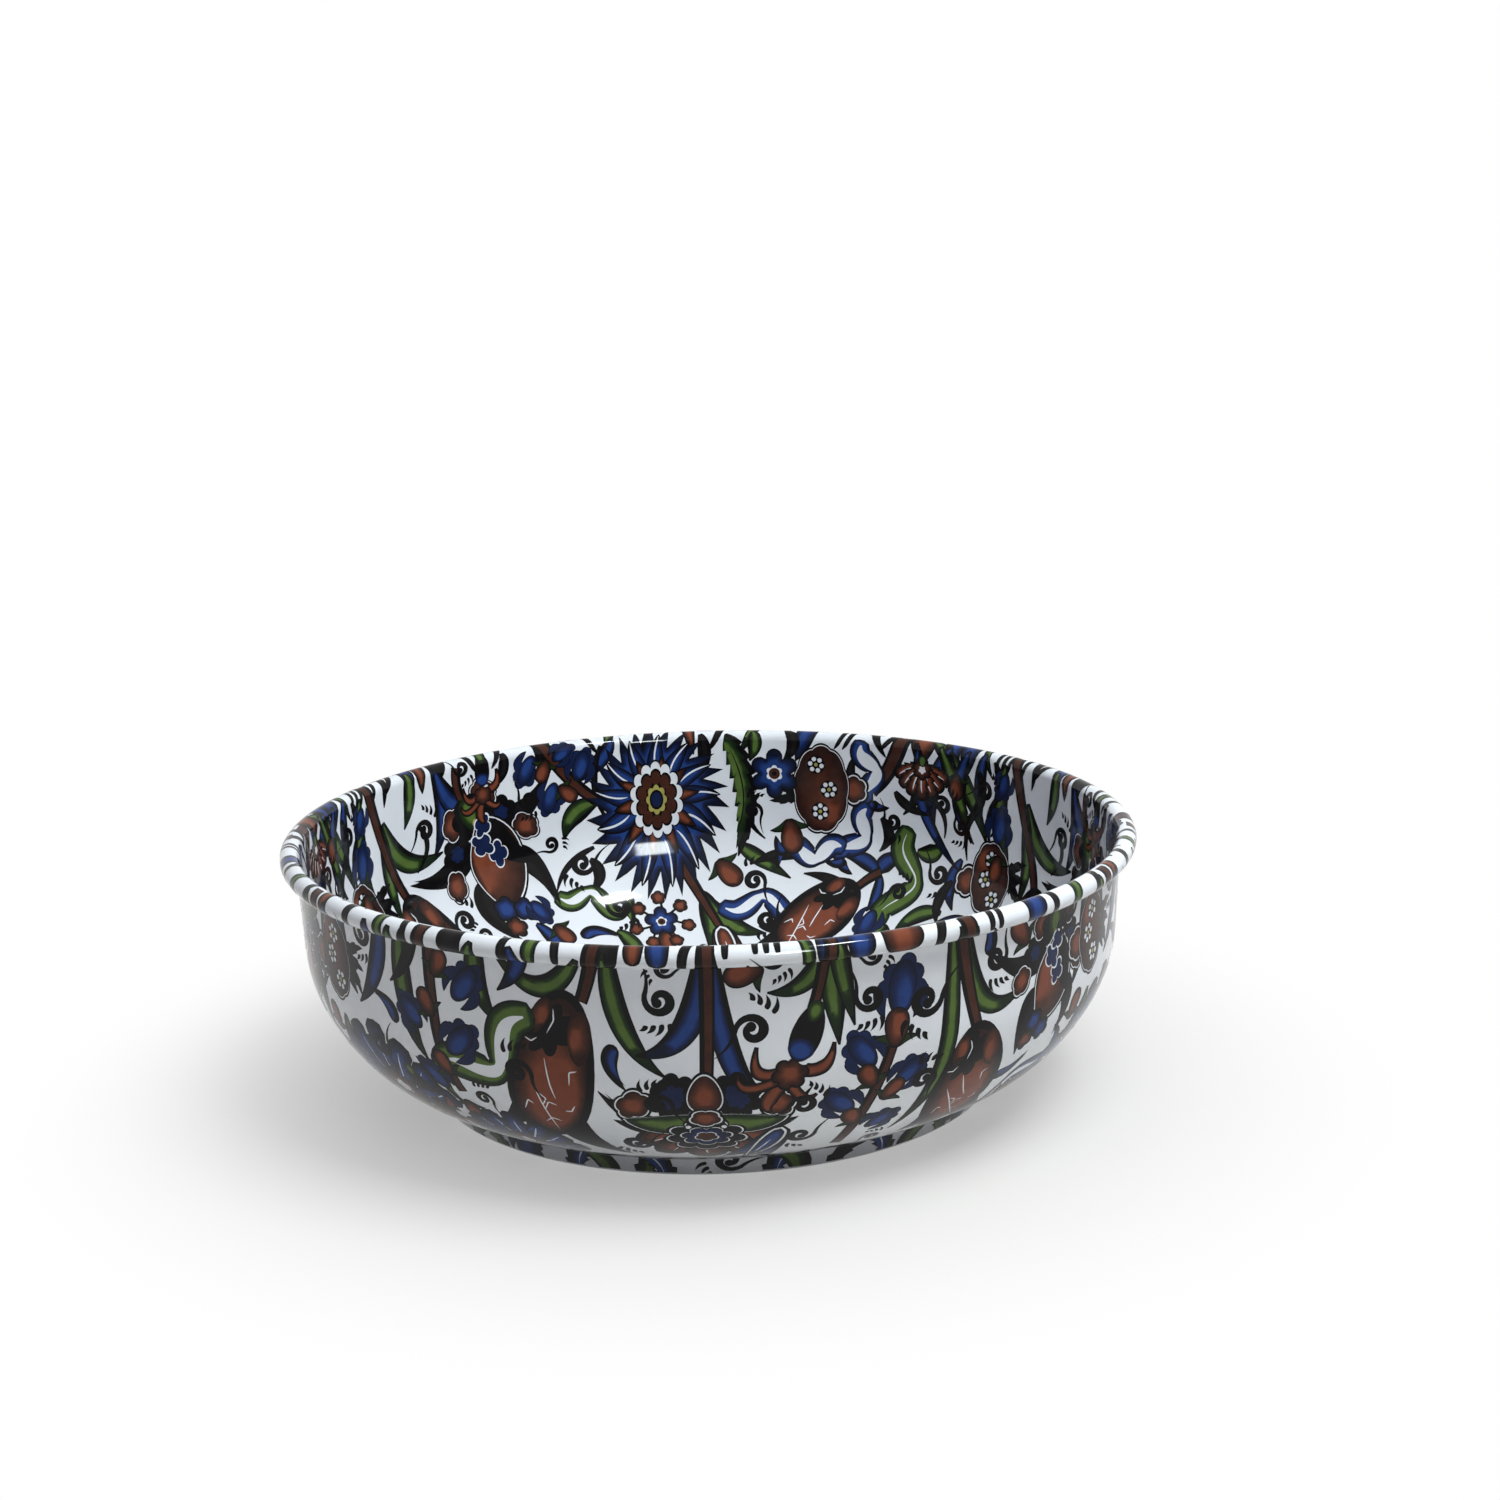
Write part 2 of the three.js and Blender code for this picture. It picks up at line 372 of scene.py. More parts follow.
def carnation_wheel(radius):
    """Open carnation: a saw-toothed wheel of petals, a ring of small red ones, and a beaded heart."""
    shapes = [("dark", saw_disc(26, radius + 1.0, 0.3), None),
              ("cobalt", saw_disc(26, radius, 0.3), lobes(13, radius * 0.72, 0.2))]
    for k in range(13):
        turn = 360 * k / 13
        petal = inked("cobalt", radius * 0.6, 5.2, 0.12, blade(radius * 0.4, 2.0, 0.1), 0.4)
        petal.append(line(bezier((0.3, 3), (-1.2, radius * 0.3), (1.6, radius * 0.58), 10), 0.6))
        shapes += arrange(petal, *spoke(radius * 0.3, math.radians(turn)), turn)
    for k in range(10):
        turn = 36 * k + 10
        petal = inked("red", 9.5, 3.4, 0.0, blade(7, 1.2), 0.35)
        shapes += arrange(petal, *spoke(radius * 0.22, math.radians(turn)), turn)
    shapes += [("dark", lobes(14, radius * 0.4, 0.16, 0.6), None), ("white", lobes(14, radius * 0.38, 0.16, 0.6), None),
               ("dark", lobes(10, radius * 0.31, 0.18, 0.6), None)]
    shapes += [("red", moved(disc(radius * 0.07), *spoke(radius * 0.215, TAU * k / 10)), None) for k in range(10)]
    shapes += [("yellow", lobes(8, radius * 0.15, 0.2), None), ("dark", disc(radius * 0.1), None),
               ("cobalt", disc(radius * 0.075), None)]
    return shapes


def carnation_fan(radius, colour="cobalt"):
    """Carnation seen from the side: seven toothed petals over a red heart and a green calyx."""
    shapes = []
    for k in (3, -3, 2, -2, 1, -1, 0):
        core = blade(radius * 0.8, radius * 0.15, full=0.9, tip=0.5)
        petal = inked(colour, radius * (1 - 0.03 * abs(k)), radius * 0.42, 0.05 * np.sign(k), core,
                      teeth=5, full=0.9, tip=0.35)
        petal.append(line(bezier((0, radius * 0.3), (0.6, radius * 0.55), (0, radius * 0.82), 8), 0.55))
        shapes += arrange(petal, turn=21 * k)
    shapes += [("dark", moved(lobes(7, radius * 0.33, 0.25, 0.7), 0, radius * 0.16), None),
               ("red", moved(lobes(7, radius * 0.28, 0.25, 0.7), 0, radius * 0.16),
                moved(disc(radius * 0.1), 0, radius * 0.16)),
               ("white", moved(lobes(5, radius * 0.12, 0.3), 0, radius * 0.18), None),
               ("dark", moved(egg(radius * 0.3, radius * 0.36), 0, -radius * 0.26), None),
               ("green", moved(egg(radius * 0.22, radius * 0.29), 0, -radius * 0.22),
                moved(egg(1.6, 3.5), 0, -radius * 0.16))]
    return shapes


def palmette(width):
    """Composite flower: a neck between shadowed lobes, side buds, a leaf collar, and a layered heart with petals."""
    k = width / 42
    heart = 23 * k
    shapes = []
    for side in (-1, 1):
        shapes += arrange(leaf("dark", 21 * k, 7 * k, 0.55 * side), 5 * k * side, 15 * k, 74 * side)
        side_bud = rimmed("red", moved(lobes(5, 4.4 * k, 0.16, 0.8), stretch=1.2), moved(disc(1.6 * k), 0, 0))
        shapes += arrange(side_bud, 18.5 * k * side, 9.5 * k, 30 * side)
        shapes += arrange([("dark", blade(15 * k, 7 * k, 0.5 * side, full=0.4), None)], 9 * k * side, 16 * k, 62 * side)
        shadow = [(colour, moved(lobes(7, radius * k, depth, 0.8), stretch=1.3), None)
                  for colour, radius, depth in (("dark", 6.4, 0.2), ("cobalt", 3.4, 0.25))]
        shapes += arrange(shadow, 8.2 * k * side, 6.5 * k, 16 * side)
    for turn in (-64, 64, -34, 34, 0):
        core = moved(blade(12 * k, 3.4 * k, 0.12 * np.sign(turn)), 0, 3 * k)
        petal = inked("red", 19 * k, 10 * k, 0.16 * np.sign(turn), core, 0.8, full=0.8, tip=0.6)
        petal.append(line(bezier((0, 6 * k), (0.8, 11 * k), (0, 16 * k), 7), 0.5))
        shapes += arrange(petal, 0, 19 * k, turn)
    for side in (-1, 1):
        collar = moved(blade(21 * k, 8 * k, 0.35 * side, full=0.6, tip=0.8), 0.5 * k * side, 14 * k, 66 * side)
        shapes += rimmed("green", collar, moved(blade(15 * k, 2.6 * k, 0.35 * side), 2.5 * k * side, 15 * k, 66 * side))
    shapes += rimmed("dark", moved(lobes(9, 10.2 * k, 0.2, 0.7), 0, heart, stretch=0.78))
    shapes += rimmed("cobalt", moved(lobes(7, 6.6 * k, 0.24, 0.7), 0, heart, stretch=0.72),
                     moved(disc(2.4 * k), 0, heart), 0.45, 0.0)
    shapes += rimmed("red", moved(lobes(5, 2.9 * k, 0.2, 0.7), 0, heart, stretch=0.8), None, 0.4, 0.3)
    shapes += rimmed("red", moved(egg(8.6 * k, 12.5 * k, -0.2), 0, -0.5 * k), moved(egg(3 * k, 5 * k), 0, 4 * k))
    shapes += rimmed("red", moved(lobes(5, 4.0 * k, 0.16, 0.8), 0, 14.5 * k, stretch=0.8),
                     moved(disc(1.4 * k), 0, 14.5 * k))
    for side in (-1, 1):
        bead = [("dark", disc(1.2 * k, 9), None), ("white", disc(0.75 * k, 8), None)]
        shapes += arrange(bead, 4.6 * k * side, 18.2 * k)
    return shapes


def bud(length):
    """Red cup with two green sepals."""
    shapes = []
    for side in (-1, 1):
        shapes += arrange(inked("green", length * 0.62, length * 0.22, 0.5 * side, grow=0.3), turn=40 * side)
    shapes += [("dark", moved(egg(length * 0.62 + 0.7, length + 0.7, -0.22), 0, -0.35), None),
               ("red", egg(length * 0.62, length, -0.22),
                moved(egg(length * 0.26, length * 0.5, -0.22), 0.05 * length, length * 0.34))]
    return shapes


def pomegranate(width, length):
    """Fruit with a pale contour, dark leaves at one side, a lobed bud at the other, and dotted flowers."""
    shapes = []
    for turn, size in ((-58, 13), (-96, 11), (-130, 13)):
        shapes += arrange([("dark", blade(size, 5.4, 0.3, 4, 0.35), None)], -0.36 * width, length * 0.5, turn)
    shapes += arrange(rimmed("red", lobes(6, 4.8, 0.14, 0.8), disc(1.8)), 0.6 * width, length * 0.52)
    body = moved(lobes(9, width / 2, 0.05, 0.8), 0, length / 2, stretch=length / width)
    shapes += rimmed("red", body, moved(egg(width * 0.16, length * 0.16), width * 0.2, length * 0.14), 0.35, 0.7)
    dots = [("white", moved(disc(0.85, 8), *spoke(2.1, TAU * n / 6)), None) for n in range(6)]
    flower = [("dark", disc(3.3), None), *dots, ("yellow", disc(0.7, 8), None)]
    for k, (x, y) in enumerate(((-0.02, 0.24), (0.14, 0.5), (-0.1, 0.78))):
        shapes += arrange(flower, x * width, y * length, 20 * k)
    return shapes


def blossom(radius, petals=6):
    """Small open blue flower."""
    return [("dark", lobes(petals, radius + KEYLINE, 0.34, 0.75), None),
            ("cobalt", lobes(petals, radius, 0.36, 0.75), lobes(petals, radius * 0.55, 0.3)),
            ("white", lobes(petals, radius * 0.36, 0.25), None), ("red", disc(radius * 0.24), None),
            ("dark", disc(radius * 0.1, 8), None)]


def berry(colour, radius, depth, edge, core):
    """Round bud of five lobes inside a dark edge."""
    return [("dark", lobes(5, radius + edge, depth, 0.8), None), (colour, lobes(5, radius, depth, 0.8), disc(core))]


def starlet(size):
    """Small open flower with a ring of stalked buds."""
    shapes = []
    for k in range(7):
        end = spoke(size, TAU * k / 7)
        shapes.append(("dark", ribbon(bezier((0, 0), end * 0.5 + end[::-1] * 0.2, end, 6), 0.9), None))
        shapes += arrange(berry("red", size * 0.25, 0.16, 0.4, size * 0.1), *end, 50 * k)
    return shapes + blossom(size * 0.6, 5)


def bell(size):
    """Small flower of a spray: a knob, two round lobes at each side, and hooks that hang beside the cup."""
    shapes = []
    for grow, fill in ((0.25, "dark"), (0.0, "cobalt")):
        for side in (-1, 1):
            hook = blade(size * 0.5, size * 0.2, 0.3 * side, grow=grow, full=0.35)
            shapes.append((fill, moved(hook, size * 0.33 * side, size * 0.66, 180 - 6 * side), None))
            for x, y, r in ((0.27, 0.62, 0.135), (0.19, 0.85, 0.14)):
                shapes.append((fill, moved(disc(size * r + grow, 13), size * x * side, size * y), None))
        shapes.append((fill, moved(disc(size * 0.13 + grow, 13), size * 0.05, size * 1.02), None))
        body = moved(egg(size * 0.46 + 2 * grow, size * 0.86 + 2 * grow, -0.1), 0, size * 0.2 - grow)
        core = None if grow else moved(egg(size * 0.16, size * 0.4), 0.05 * size, size * 0.34)
        shapes.append((fill, body, core))
    return shapes


def cloud_band(length, width, colour="green", pale=0.5):
    """Wavy ribbon with a pale middle and two small leaves at its end."""
    t = np.linspace(0, 1, 40)
    spine = np.column_stack((0.13 * length * np.sin(1.43 * TAU * t) * (0.4 + t), length * t))
    swell = 0.5 + 0.5 * np.abs(np.sin(math.pi * t * 2)) ** 0.8
    swell[0] = swell[-1] = 0.1
    light = pale * width * swell[3:-6] * np.sin(np.linspace(0.15, math.pi - 0.15, 31))
    shapes = [("dark", ribbon(spine, width * swell + 1.0), None),
              (colour, ribbon(spine, width * swell), ribbon(spine[2:-2], width * swell[2:-2] * 0.6)),
              ("white", ribbon(spine[3:-6], light), None)]
    for side in (-1, 1):
        shapes += arrange(leaf(colour, 0.24 * length, 3, 0.5 * side), *spine[-1], 28 * side)
    return shapes


def scroll(size, ticks=4):
    """Bold black spiral with a tapering tail and short strokes beside it."""
    t = np.linspace(0, 1, 26)
    a = TAU * 1.16 * t
    r = size * (1 - 0.74 * t**0.8)
    spine = np.column_stack((r * np.cos(a), r * np.sin(a)))
    tail = bezier((size * 1.9, -size * 2.0), (size * 1.0, -size * 1.1), spine[0], 9)[:-1]
    spine = np.vstack((tail, spine))
    swell = np.interp(np.linspace(0, 1, len(spine)), (0, 0.3, 0.55, 0.85, 1), (0.08, 0.7, 1.1, 0.75, 0.9))
    shapes = [("dark", ribbon(spine, size * 0.56 * swell), None),
              ("dark", moved(disc(size * 0.32, 10), *spine[-1]), None)]
    for k in range(ticks):
        stroke = blade(size * (1.05 - 0.16 * k), size * 0.34, 0.5, full=0.3)
        place = -size * (0.95 - 0.42 * k), size * (1.2 + 0.2 * k)
        shapes.append(("dark", moved(stroke, *place, -34 + 12 * k), None))
    return shapes


# Curled petals: start, pull, end and width, for a flower of 30 mm
IRIS_SIZE = 30
IRIS_CURLS = (
    ((-2, 20), (-12, 20), (-9, 9), 3.8), ((2, 22), (11, 30), (13, 17), 3.4), ((-1, 25), (-9, 33), (-11, 27), 2.8),
    ((1, 26), (4, 36), (-1, 38), 4.4), ((2, 25), (12, 36), (15, 27), 2.8),
)


def iris(size):
    """Hanging flower: a calyx, a dark bell with a blue edge, and a red mouth with curled petals."""
    k = size / IRIS_SIZE
    shapes = []
    for *bend, wide in IRIS_CURLS:
        curl = bezier(*(np.array(q) * k for q in bend), 18)
        widths = wide * k * np.interp(np.linspace(0, 1, 18), (0, 0.5, 1), (1, 1, 0.06))
        shapes += [("dark", ribbon(curl, widths + 1.0), None),
                   ("red", ribbon(curl, widths), ribbon(curl[2:-3], widths[2:-3] * 0.4))]
    shapes += [("dark", moved(lobes(6, 5.9 * k, 0.2, 0.8), 0, 22.5 * k), None),
               ("red", moved(lobes(6, 5.2 * k, 0.2, 0.8), 0, 22.5 * k), moved(disc(1.6 * k), 0, 22 * k)),
               ("white", moved(blade(4 * k, 1.2 * k, 0.4), -3.5 * k, 17.5 * k, 76), None),
               ("dark", moved(egg(9.6 * k, 19 * k, -0.1), 0, -1 * k), None),
               ("cobalt", moved(egg(8.4 * k, 7 * k), 0, 10.5 * k), moved(egg(5 * k, 4 * k), 0, 12.5 * k)),
               ("green", moved(egg(5 * k, 7 * k, 0.2), 0, -2 * k), egg(2 * k, 3 * k))]
    return shapes


def lotus(size):
    """Composite flower seen from the side: a red petal in a pale contour between dark curled leaves with red buds."""
    k = size / 48
    shapes = []
    for side, lift in ((-1, 0), (1, 3)):
        shapes += arrange(leaf("dark", 26 * k, 9 * k, 0.45 * side), 6 * k * side, (14 + lift) * k, 62 * side)
        shapes += arrange(leaf("dark", 22 * k, 8 * k, -0.4 * side), 7 * k * side, (30 + lift) * k, 40 * side)
        shadow = [("dark", lobes(6, 6.6 * k, 0.2, 0.8), None), ("cobalt", lobes(6, 3.0 * k, 0.25, 0.8), None)]
        shapes += arrange(shadow, 11 * k * side, (15 + lift) * k, 30)
        for radius, stretch, x, y, turn in ((4.2, 1.3, 17.5, 24, 30), (4.6, 1.25, 8, 5, 24)):
            side_bud = rimmed("red", moved(lobes(5, radius * k, 0.14, 0.8), stretch=stretch), disc(1.5 * k), 0.4, 0.6)
            shapes += arrange(side_bud, x * k * side, (y + lift) * k, turn * side)
    shapes += [("dark", moved(lobes(7, 8.6 * k, 0.16, 0.8), 0, 10 * k), None),
               ("green", moved(egg(8 * k, 13 * k), 0, 2 * k), moved(egg(3 * k, 6 * k), 0, 5 * k)),
               ("yellow", moved(egg(3.4 * k, 5 * k), -1 * k, 11 * k), None)]
    shapes += rimmed("red", moved(blade(34 * k, 21 * k, 0.3, full=0.75, tip=0.7), -2 * k, 12 * k, -4),
                     moved(blade(17 * k, 6 * k, 0.3), 3 * k, 20 * k), 0.6, 0.9)
    shapes.append(("dark", moved(blade(27 * k, 9 * k, -0.35), -6.0 * k, 14 * k, -2), None))
    for x, y, r, turn in ((-3.6, 27, 3.6, 20), (0.4, 21, 3.8, -35), (-2.6, 15, 3.2, 50)):
        shapes += rimmed("cobalt", moved(lobes(4, r * k, 0.36, 0.8), x * k, y * k, turn, 1.3), None, 0.55, 0.0)
    for x, y, r, colour in ((7, 44, 4.4, "cobalt"), (1, 48, 4.0, "cobalt"), (9, 51, 3.6, "red")):
        shapes += arrange(berry(colour, r * k, 0.2, 0.7, r * 0.4 * k), x * k, y * k)
    return shapes


def sprig(length):
    """Twig with three pairs of leaves and a bud."""
    twig = bezier((0, 0), (length * 0.12, length * 0.5), (0, length * 0.9), 9)
    shapes = [("dark", ribbon(twig, np.linspace(1.0, 0.5, 9)), None)]
    for k in range(3):
        for side in (-1, 1):
            shapes += arrange(inked("green", length * 0.36, length * 0.13, 0.3 * side, grow=0.3),
                              0.5 * side, length * (0.16 + 0.25 * k), 52 * side)
    return shapes + arrange(bud(length * 0.45), 0, length * 0.84)


# The print, unrolled: across is the angle times PRINT_RADIUS, down is the way along the section from the rim


class WallPrint:
    """Print on the wall, inside or outside."""

    RIM_MARGIN, END_MARGIN = 7, 2
    BAKE_HEIGHT = 0.48

    def __init__(self, path, first_angle, end, outward):
        self.path, self.way = path, lengths(path)
        self.first_angle, self.end, self.outward = first_angle, end, outward
        self.low, self.high = np.array((0.0, 0.0)), np.array((REPEAT_WIDTH, end))
        self.shapes = []

    def squeeze(self, down):
        """Share of the chart's width that is left at a way down the bowl."""
        return np.interp(down, self.way, self.path[:, 0]) / PRINT_RADIUS

    def has_room(self, points):
        """Which points are clear of the print's edges."""
        return (points[:, 1] > self.RIM_MARGIN) & (points[:, 1] < self.end - self.END_MARGIN)

    def add(self, shapes, degrees, down, turn=0.0, flip=False):
        def lay(o):
            depth = down - o[:, 1]
            wide = o[:, 0] / self.squeeze(np.clip(depth, 0, self.end))
            return np.column_stack((math.radians(degrees) * PRINT_RADIUS + wide, depth))

        self.shapes += reshaped(arrange(shapes, turn=turn, flip=flip), lay)

    def add_at(self, shapes, spot, turn, flip):
        self.add(shapes, math.degrees(spot[0] / PRINT_RADIUS), spot[1], turn, flip)

    def at(self, place):
        """Point of the chart at a place given as degrees and way down."""
        return np.array((math.radians(place[0]) * PRINT_RADIUS, place[1]))

    def stem(self, *places, width):
        """Flower stem by three places, with a dark edge."""
        spine, widths = bezier(*map(self.at, places), 24), np.linspace(width, width * 0.7, 24)
        self.shapes.append(("dark", ribbon(spine, widths + 1.3), None))
        self.shapes.append(("red", ribbon(spine + (0.35, 0), widths * 0.72), None))

    def frond(self, colour, *places, width):
        """Slender leaf by three places, with a whip end and a shadow on the hollow side."""
        base, pull, tip = map(self.at, places)
        spine, t = bezier(base, pull, tip, 26), np.linspace(0, 1, 26)
        swell = (t + 0.01) ** 0.85 * (1.01 - t) ** 1.1
        swell *= width / swell.max()
        a, b = pull - base, tip - base
        hollow = np.sign(a[0] * b[1] - a[1] * b[0])
        along = np.gradient(spine, axis=0)
        side = hollow * np.column_stack((-along[:, 1], along[:, 0])) / np.linalg.norm(along, axis=1)[:, None]
        lit = spine - side * (0.07 * swell)[:, None]
        self.shapes.append(("dark", ribbon(spine, swell + 1.2 * (1 - 0.6 * t)), None))
        self.shapes.append((colour, ribbon(lit[:-2], swell[:-2] * 0.82), ribbon(lit[1:-8], swell[1:-8] * 0.26)))

    def repeated(self, shapes):
        """Shapes with those that cross the repeat's sides shown at both."""
        out = []
        for colour, outline, core in shapes:
            low, high = outline[:, 0].min(), outline[:, 0].max()
            for k in range(math.floor(-high / REPEAT_WIDTH), 2 - math.floor(low / REPEAT_WIDTH)):
                step = np.array((k * REPEAT_WIDTH, 0))
                if high + step[0] > 0 and low + step[0] < REPEAT_WIDTH:
                    out.append((colour, outline + step, None if core is None else core + step))
        return out

    def grid(self):
        """Lines of the bowl's own facets, so that the print lies flat on them."""
        wide = np.linspace(0, REPEAT_WIDTH, TURN_STEPS // REPEATS + 1)
        deep = np.append(self.way[self.way < self.end - LINE_SLACK], self.end)
        return ([np.array(((x, 0), (x, self.end))) for x in wide]
                + [np.array(((0, y), (REPEAT_WIDTH, y))) for y in deep])

    def keep(self, centres):
        """Which triangles, by their centres, belong to the print."""
        x, y = centres.T
        return (x > 0) & (x < REPEAT_WIDTH) & (y > 0) & (y < self.end)

    def angle_and_way(self, points):
        return math.radians(self.first_angle) + points[:, 0] / PRINT_RADIUS, points[:, 1]

    def bake_place(self, angle, way):
        return np.column_stack((angle / TAU, way / self.end * self.BAKE_HEIGHT))


class FloorPrint(WallPrint):
    """Print on the floor inside, drawn flat from its middle."""

    END_MARGIN = 1.5
    BAKE_MIDDLE, BAKE_RADIUS = (0.25, 0.75), 0.245

    def __init__(self, path):
        super().__init__(path, 0.0, INSIDE_LENGTH - FLOOR_EDGE, -1)
        self.low, self.high = np.full(2, -self.end), np.full(2, self.end)

    def squeeze(self, down):
        return np.ones_like(down)

    def has_room(self, points):
        return np.hypot(points[:, 0], points[:, 1]) < self.end - self.END_MARGIN

    def add(self, shapes, degrees, out, turn=0.0):
        self.shapes += arrange(shapes, *spoke(out, math.radians(degrees)), turn + degrees)

    def add_at(self, shapes, spot, turn, flip):
        self.shapes += arrange(shapes, *spot, turn, flip)

    def repeated(self, shapes):
        return shapes

    def grid(self):
        """Rings and spokes of the bowl's own facets, as far in as the floor is curved."""
        angles = np.linspace(0, TAU, TURN_STEPS + 1)
        flat = FOOT_RADIUS - RING_WIDTH - PANEL_STEP - 4
        rings = [r for r in INSIDE_LENGTH - self.way[self.way > FLOOR_EDGE + LINE_SLACK] if r > flat]
        circle = np.column_stack((np.cos(angles), np.sin(angles)))
        spokes = [np.array((p * min(rings), p * self.end)) for p in circle[:-1]]
        return [circle * r for r in [self.end] + rings] + spokes

    def keep(self, centres):
        return np.hypot(centres[:, 0], centres[:, 1]) < self.end

    def angle_and_way(self, points):
        return np.arctan2(points[:, 1], points[:, 0]), INSIDE_LENGTH - np.hypot(points[:, 0], points[:, 1])

    def carry_on(self, wall):
        """Ornaments of the wall that run on over the ridge."""
        for shape in wall.shapes:
            if shape[1][:, 1].max() > FLOOR_EDGE - 0.5:
                for k in range(REPEATS):
                    def lay(o):
                        a = math.radians(wall.first_angle) + o[:, 0] / PRINT_RADIUS + TAU * k / REPEATS
                        return (INSIDE_LENGTH - o[:, 1])[:, None] * np.column_stack((np.cos(a), np.sin(a)))

                    self.shapes += reshaped([shape], lay)

    def bake_place(self, angle, way):
        out = (INSIDE_LENGTH - way) / self.end * self.BAKE_RADIUS
        x, y = self.BAKE_MIDDLE
        return np.column_stack((x + out * np.cos(angle), y + out * np.sin(angle)))


def inside_outline(points, outline):
    """Which points lie inside an outline, by crossings counted to the right."""
    out = np.zeros(len(points), bool)
    for (ax, ay), (bx, by) in zip(outline, np.roll(outline, -1, axis=0)):
        if ay != by:
            cut = (ay > points[:, 1]) != (by > points[:, 1])
            out ^= cut & (points[:, 0] < ax + (points[:, 1] - ay) * (bx - ax) / (by - ay))
    return out


def distance_to(points, outline, batch=4000):
    """Least distance from each point to an outline."""
    d = np.roll(outline, -1, axis=0) - outline
    size = np.maximum((d * d).sum(1), 1e-12)
    best = np.empty(len(points))
    for start in range(0, len(points), batch):
        rel = points[start:start + batch, None, :] - outline[None]
        t = np.clip((rel * d).sum(2) / size, 0, 1)
        gap = rel - t[..., None] * d
        best[start:start + batch] = np.sqrt((gap * gap).sum(2).min(1))
    return best


class FreeGround:
    """Raster of how far each place of the ground is from the nearest ornament."""

    CELL, REACH = 1.2, 9.5

    def __init__(self, side):
        self.side = side
        self.counts = np.ceil((side.high - side.low) / self.CELL).astype(int)
        steps = [(np.arange(n) + 0.5) * self.CELL + low for n, low in zip(self.counts, side.low)]
        self.at = np.stack(np.meshgrid(*steps, indexing="ij"), axis=2)
        self.free = np.full(self.at.shape[:2], self.REACH)
        self.cover(side.shapes)

    def cover(self, shapes):
        for _, outline, _ in self.side.repeated(shapes):
            low = ((outline.min(0) - self.REACH - self.side.low) / self.CELL).astype(int)
            high = ((outline.max(0) + self.REACH - self.side.low) / self.CELL).astype(int) + 1
            low, high = np.maximum(low, 0), np.minimum(high, self.counts)
            if (high <= low).any():
                continue
            window = (slice(low[0], high[0]), slice(low[1], high[1]))
            points = self.at[window].reshape(-1, 2)
            squeeze = np.column_stack((self.side.squeeze(points[:, 1]), np.ones(len(points))))
            middle = np.array((outline[:, 0].mean(), 0))
            gap = distance_to((points - middle) * squeeze, (outline - middle) * (squeeze[:, 0].mean(), 1))
            gap[inside_outline(points, outline)] = 0
            self.free[window] = np.minimum(self.free[window], gap.reshape(self.free[window].shape))


# Least free distance, largest scale and makers of the small ornaments in the ground
FILLERS = (
    (7.2, 1.25, (lambda k: scroll(4.0 * k), lambda k: scroll(4.0 * k), lambda k: bell(12.5 * k),
                 lambda k: sprig(15 * k))),
    (4.9, 1.4, (lambda k: scroll(2.7 * k), lambda k: scroll(2.7 * k, 3), lambda k: bud(9.5 * k),
                lambda k: leaf("cobalt", 10 * k, 3.6 * k, 0.5))),
)


def fill_ground(side, seed):
    """Small ornaments in the free ground, the widest gaps first."""
    draw = random.Random(seed)
    ground = FreeGround(side)
    allowed = side.has_room(ground.at.reshape(-1, 2)).reshape(ground.free.shape)
    for least, most, makers in FILLERS:
        places = [tuple(p) for p in np.argwhere((ground.free >= least) & allowed)]
        draw.shuffle(places)
        for place in places:
            free = ground.free[place]
            if free >= least:
                before = len(side.shapes)
                ornament = centred(draw.choice(makers)(min(free / least, most)))
                side.add_at(ornament, ground.at[place], draw.uniform(0, 360), draw.random() < 0.5)
                ground.cover(side.shapes[before:])


# Leaves over the rim: degrees, colour, length inside, length outside, width and bend
RIM_LEAVES = (
    (4.6, "dark", 7, 8, 1.5, 0.3), (8.2, "green", 10, 8, 3.4, 0.2), (11.4, "dark", 8, 7, 1.4, -0.3),
    (17, "dark", 9, 9, 8.5, 0.1), (20.8, "red", 9, 6, 4.4, 0.0), (23.6, "cobalt", 10, 7, 5.4, -0.1),
    (26.6, "dark", 8, 9, 1.6, 0.4), (28.8, "dark", 10, 12, 2.6, 0.1), (31.5, "dark", 7, 4, 0.9, 0.2),
    (35, "dark", 7, 3, 0.7, 0.2), (36.3, "dark", 7, 3, 0.7, 0.2), (37.6, "dark", 7, 3, 0.7, 0.2),
    (41.2, "green", 10, 12, 2.6, -0.2), (44, "cobalt", 12, 9, 7.5, 0.1), (47.6, "cobalt", 12, 8, 7, -0.1),
    (53, "red", 10, 8, 11, 0.1), (58, "dark", 7, 9, 1.8, 0.4), (62.5, "dark", 9, 10, 2.4, -0.3),
    (65.6, "dark", 7, 6, 1.0, 0.3), (67, "dark", 7, 6, 0.8, 0.3), (73.4, "cobalt", 12, 9, 7, 0.2),
    (77, "dark", 8, 8, 1.6, -0.2), (82, "green", 10, 10, 3.4, 0.3), (87.5, "dark", 9, 8, 1.8, 0.3),
    (93, "red", 9, 9, 3.8, -0.1), (99, "dark", 9, 8, 2.2, 0.3), (105.5, "green", 9, 10, 3.0, 0.2),
    (110, "dark", 7, 7, 1.3, -0.3), (117.3, "dark", 9, 9, 7.0, 0.1),
)


def over_rim(inside, outside, degrees, colour, up, down, width, bend):
    """Leaf that runs over the bead, from the inside of the bowl to the outside."""
    core = blade((up + down) * 0.8, width * 0.3, bend)
    laid = arrange(inked(colour, up + down, width, bend, core), 0, -down)
    outside.add(laid, degrees - outside.first_angle, 0)
    inside.add(laid, degrees - inside.first_angle, 0, 180, flip=True)


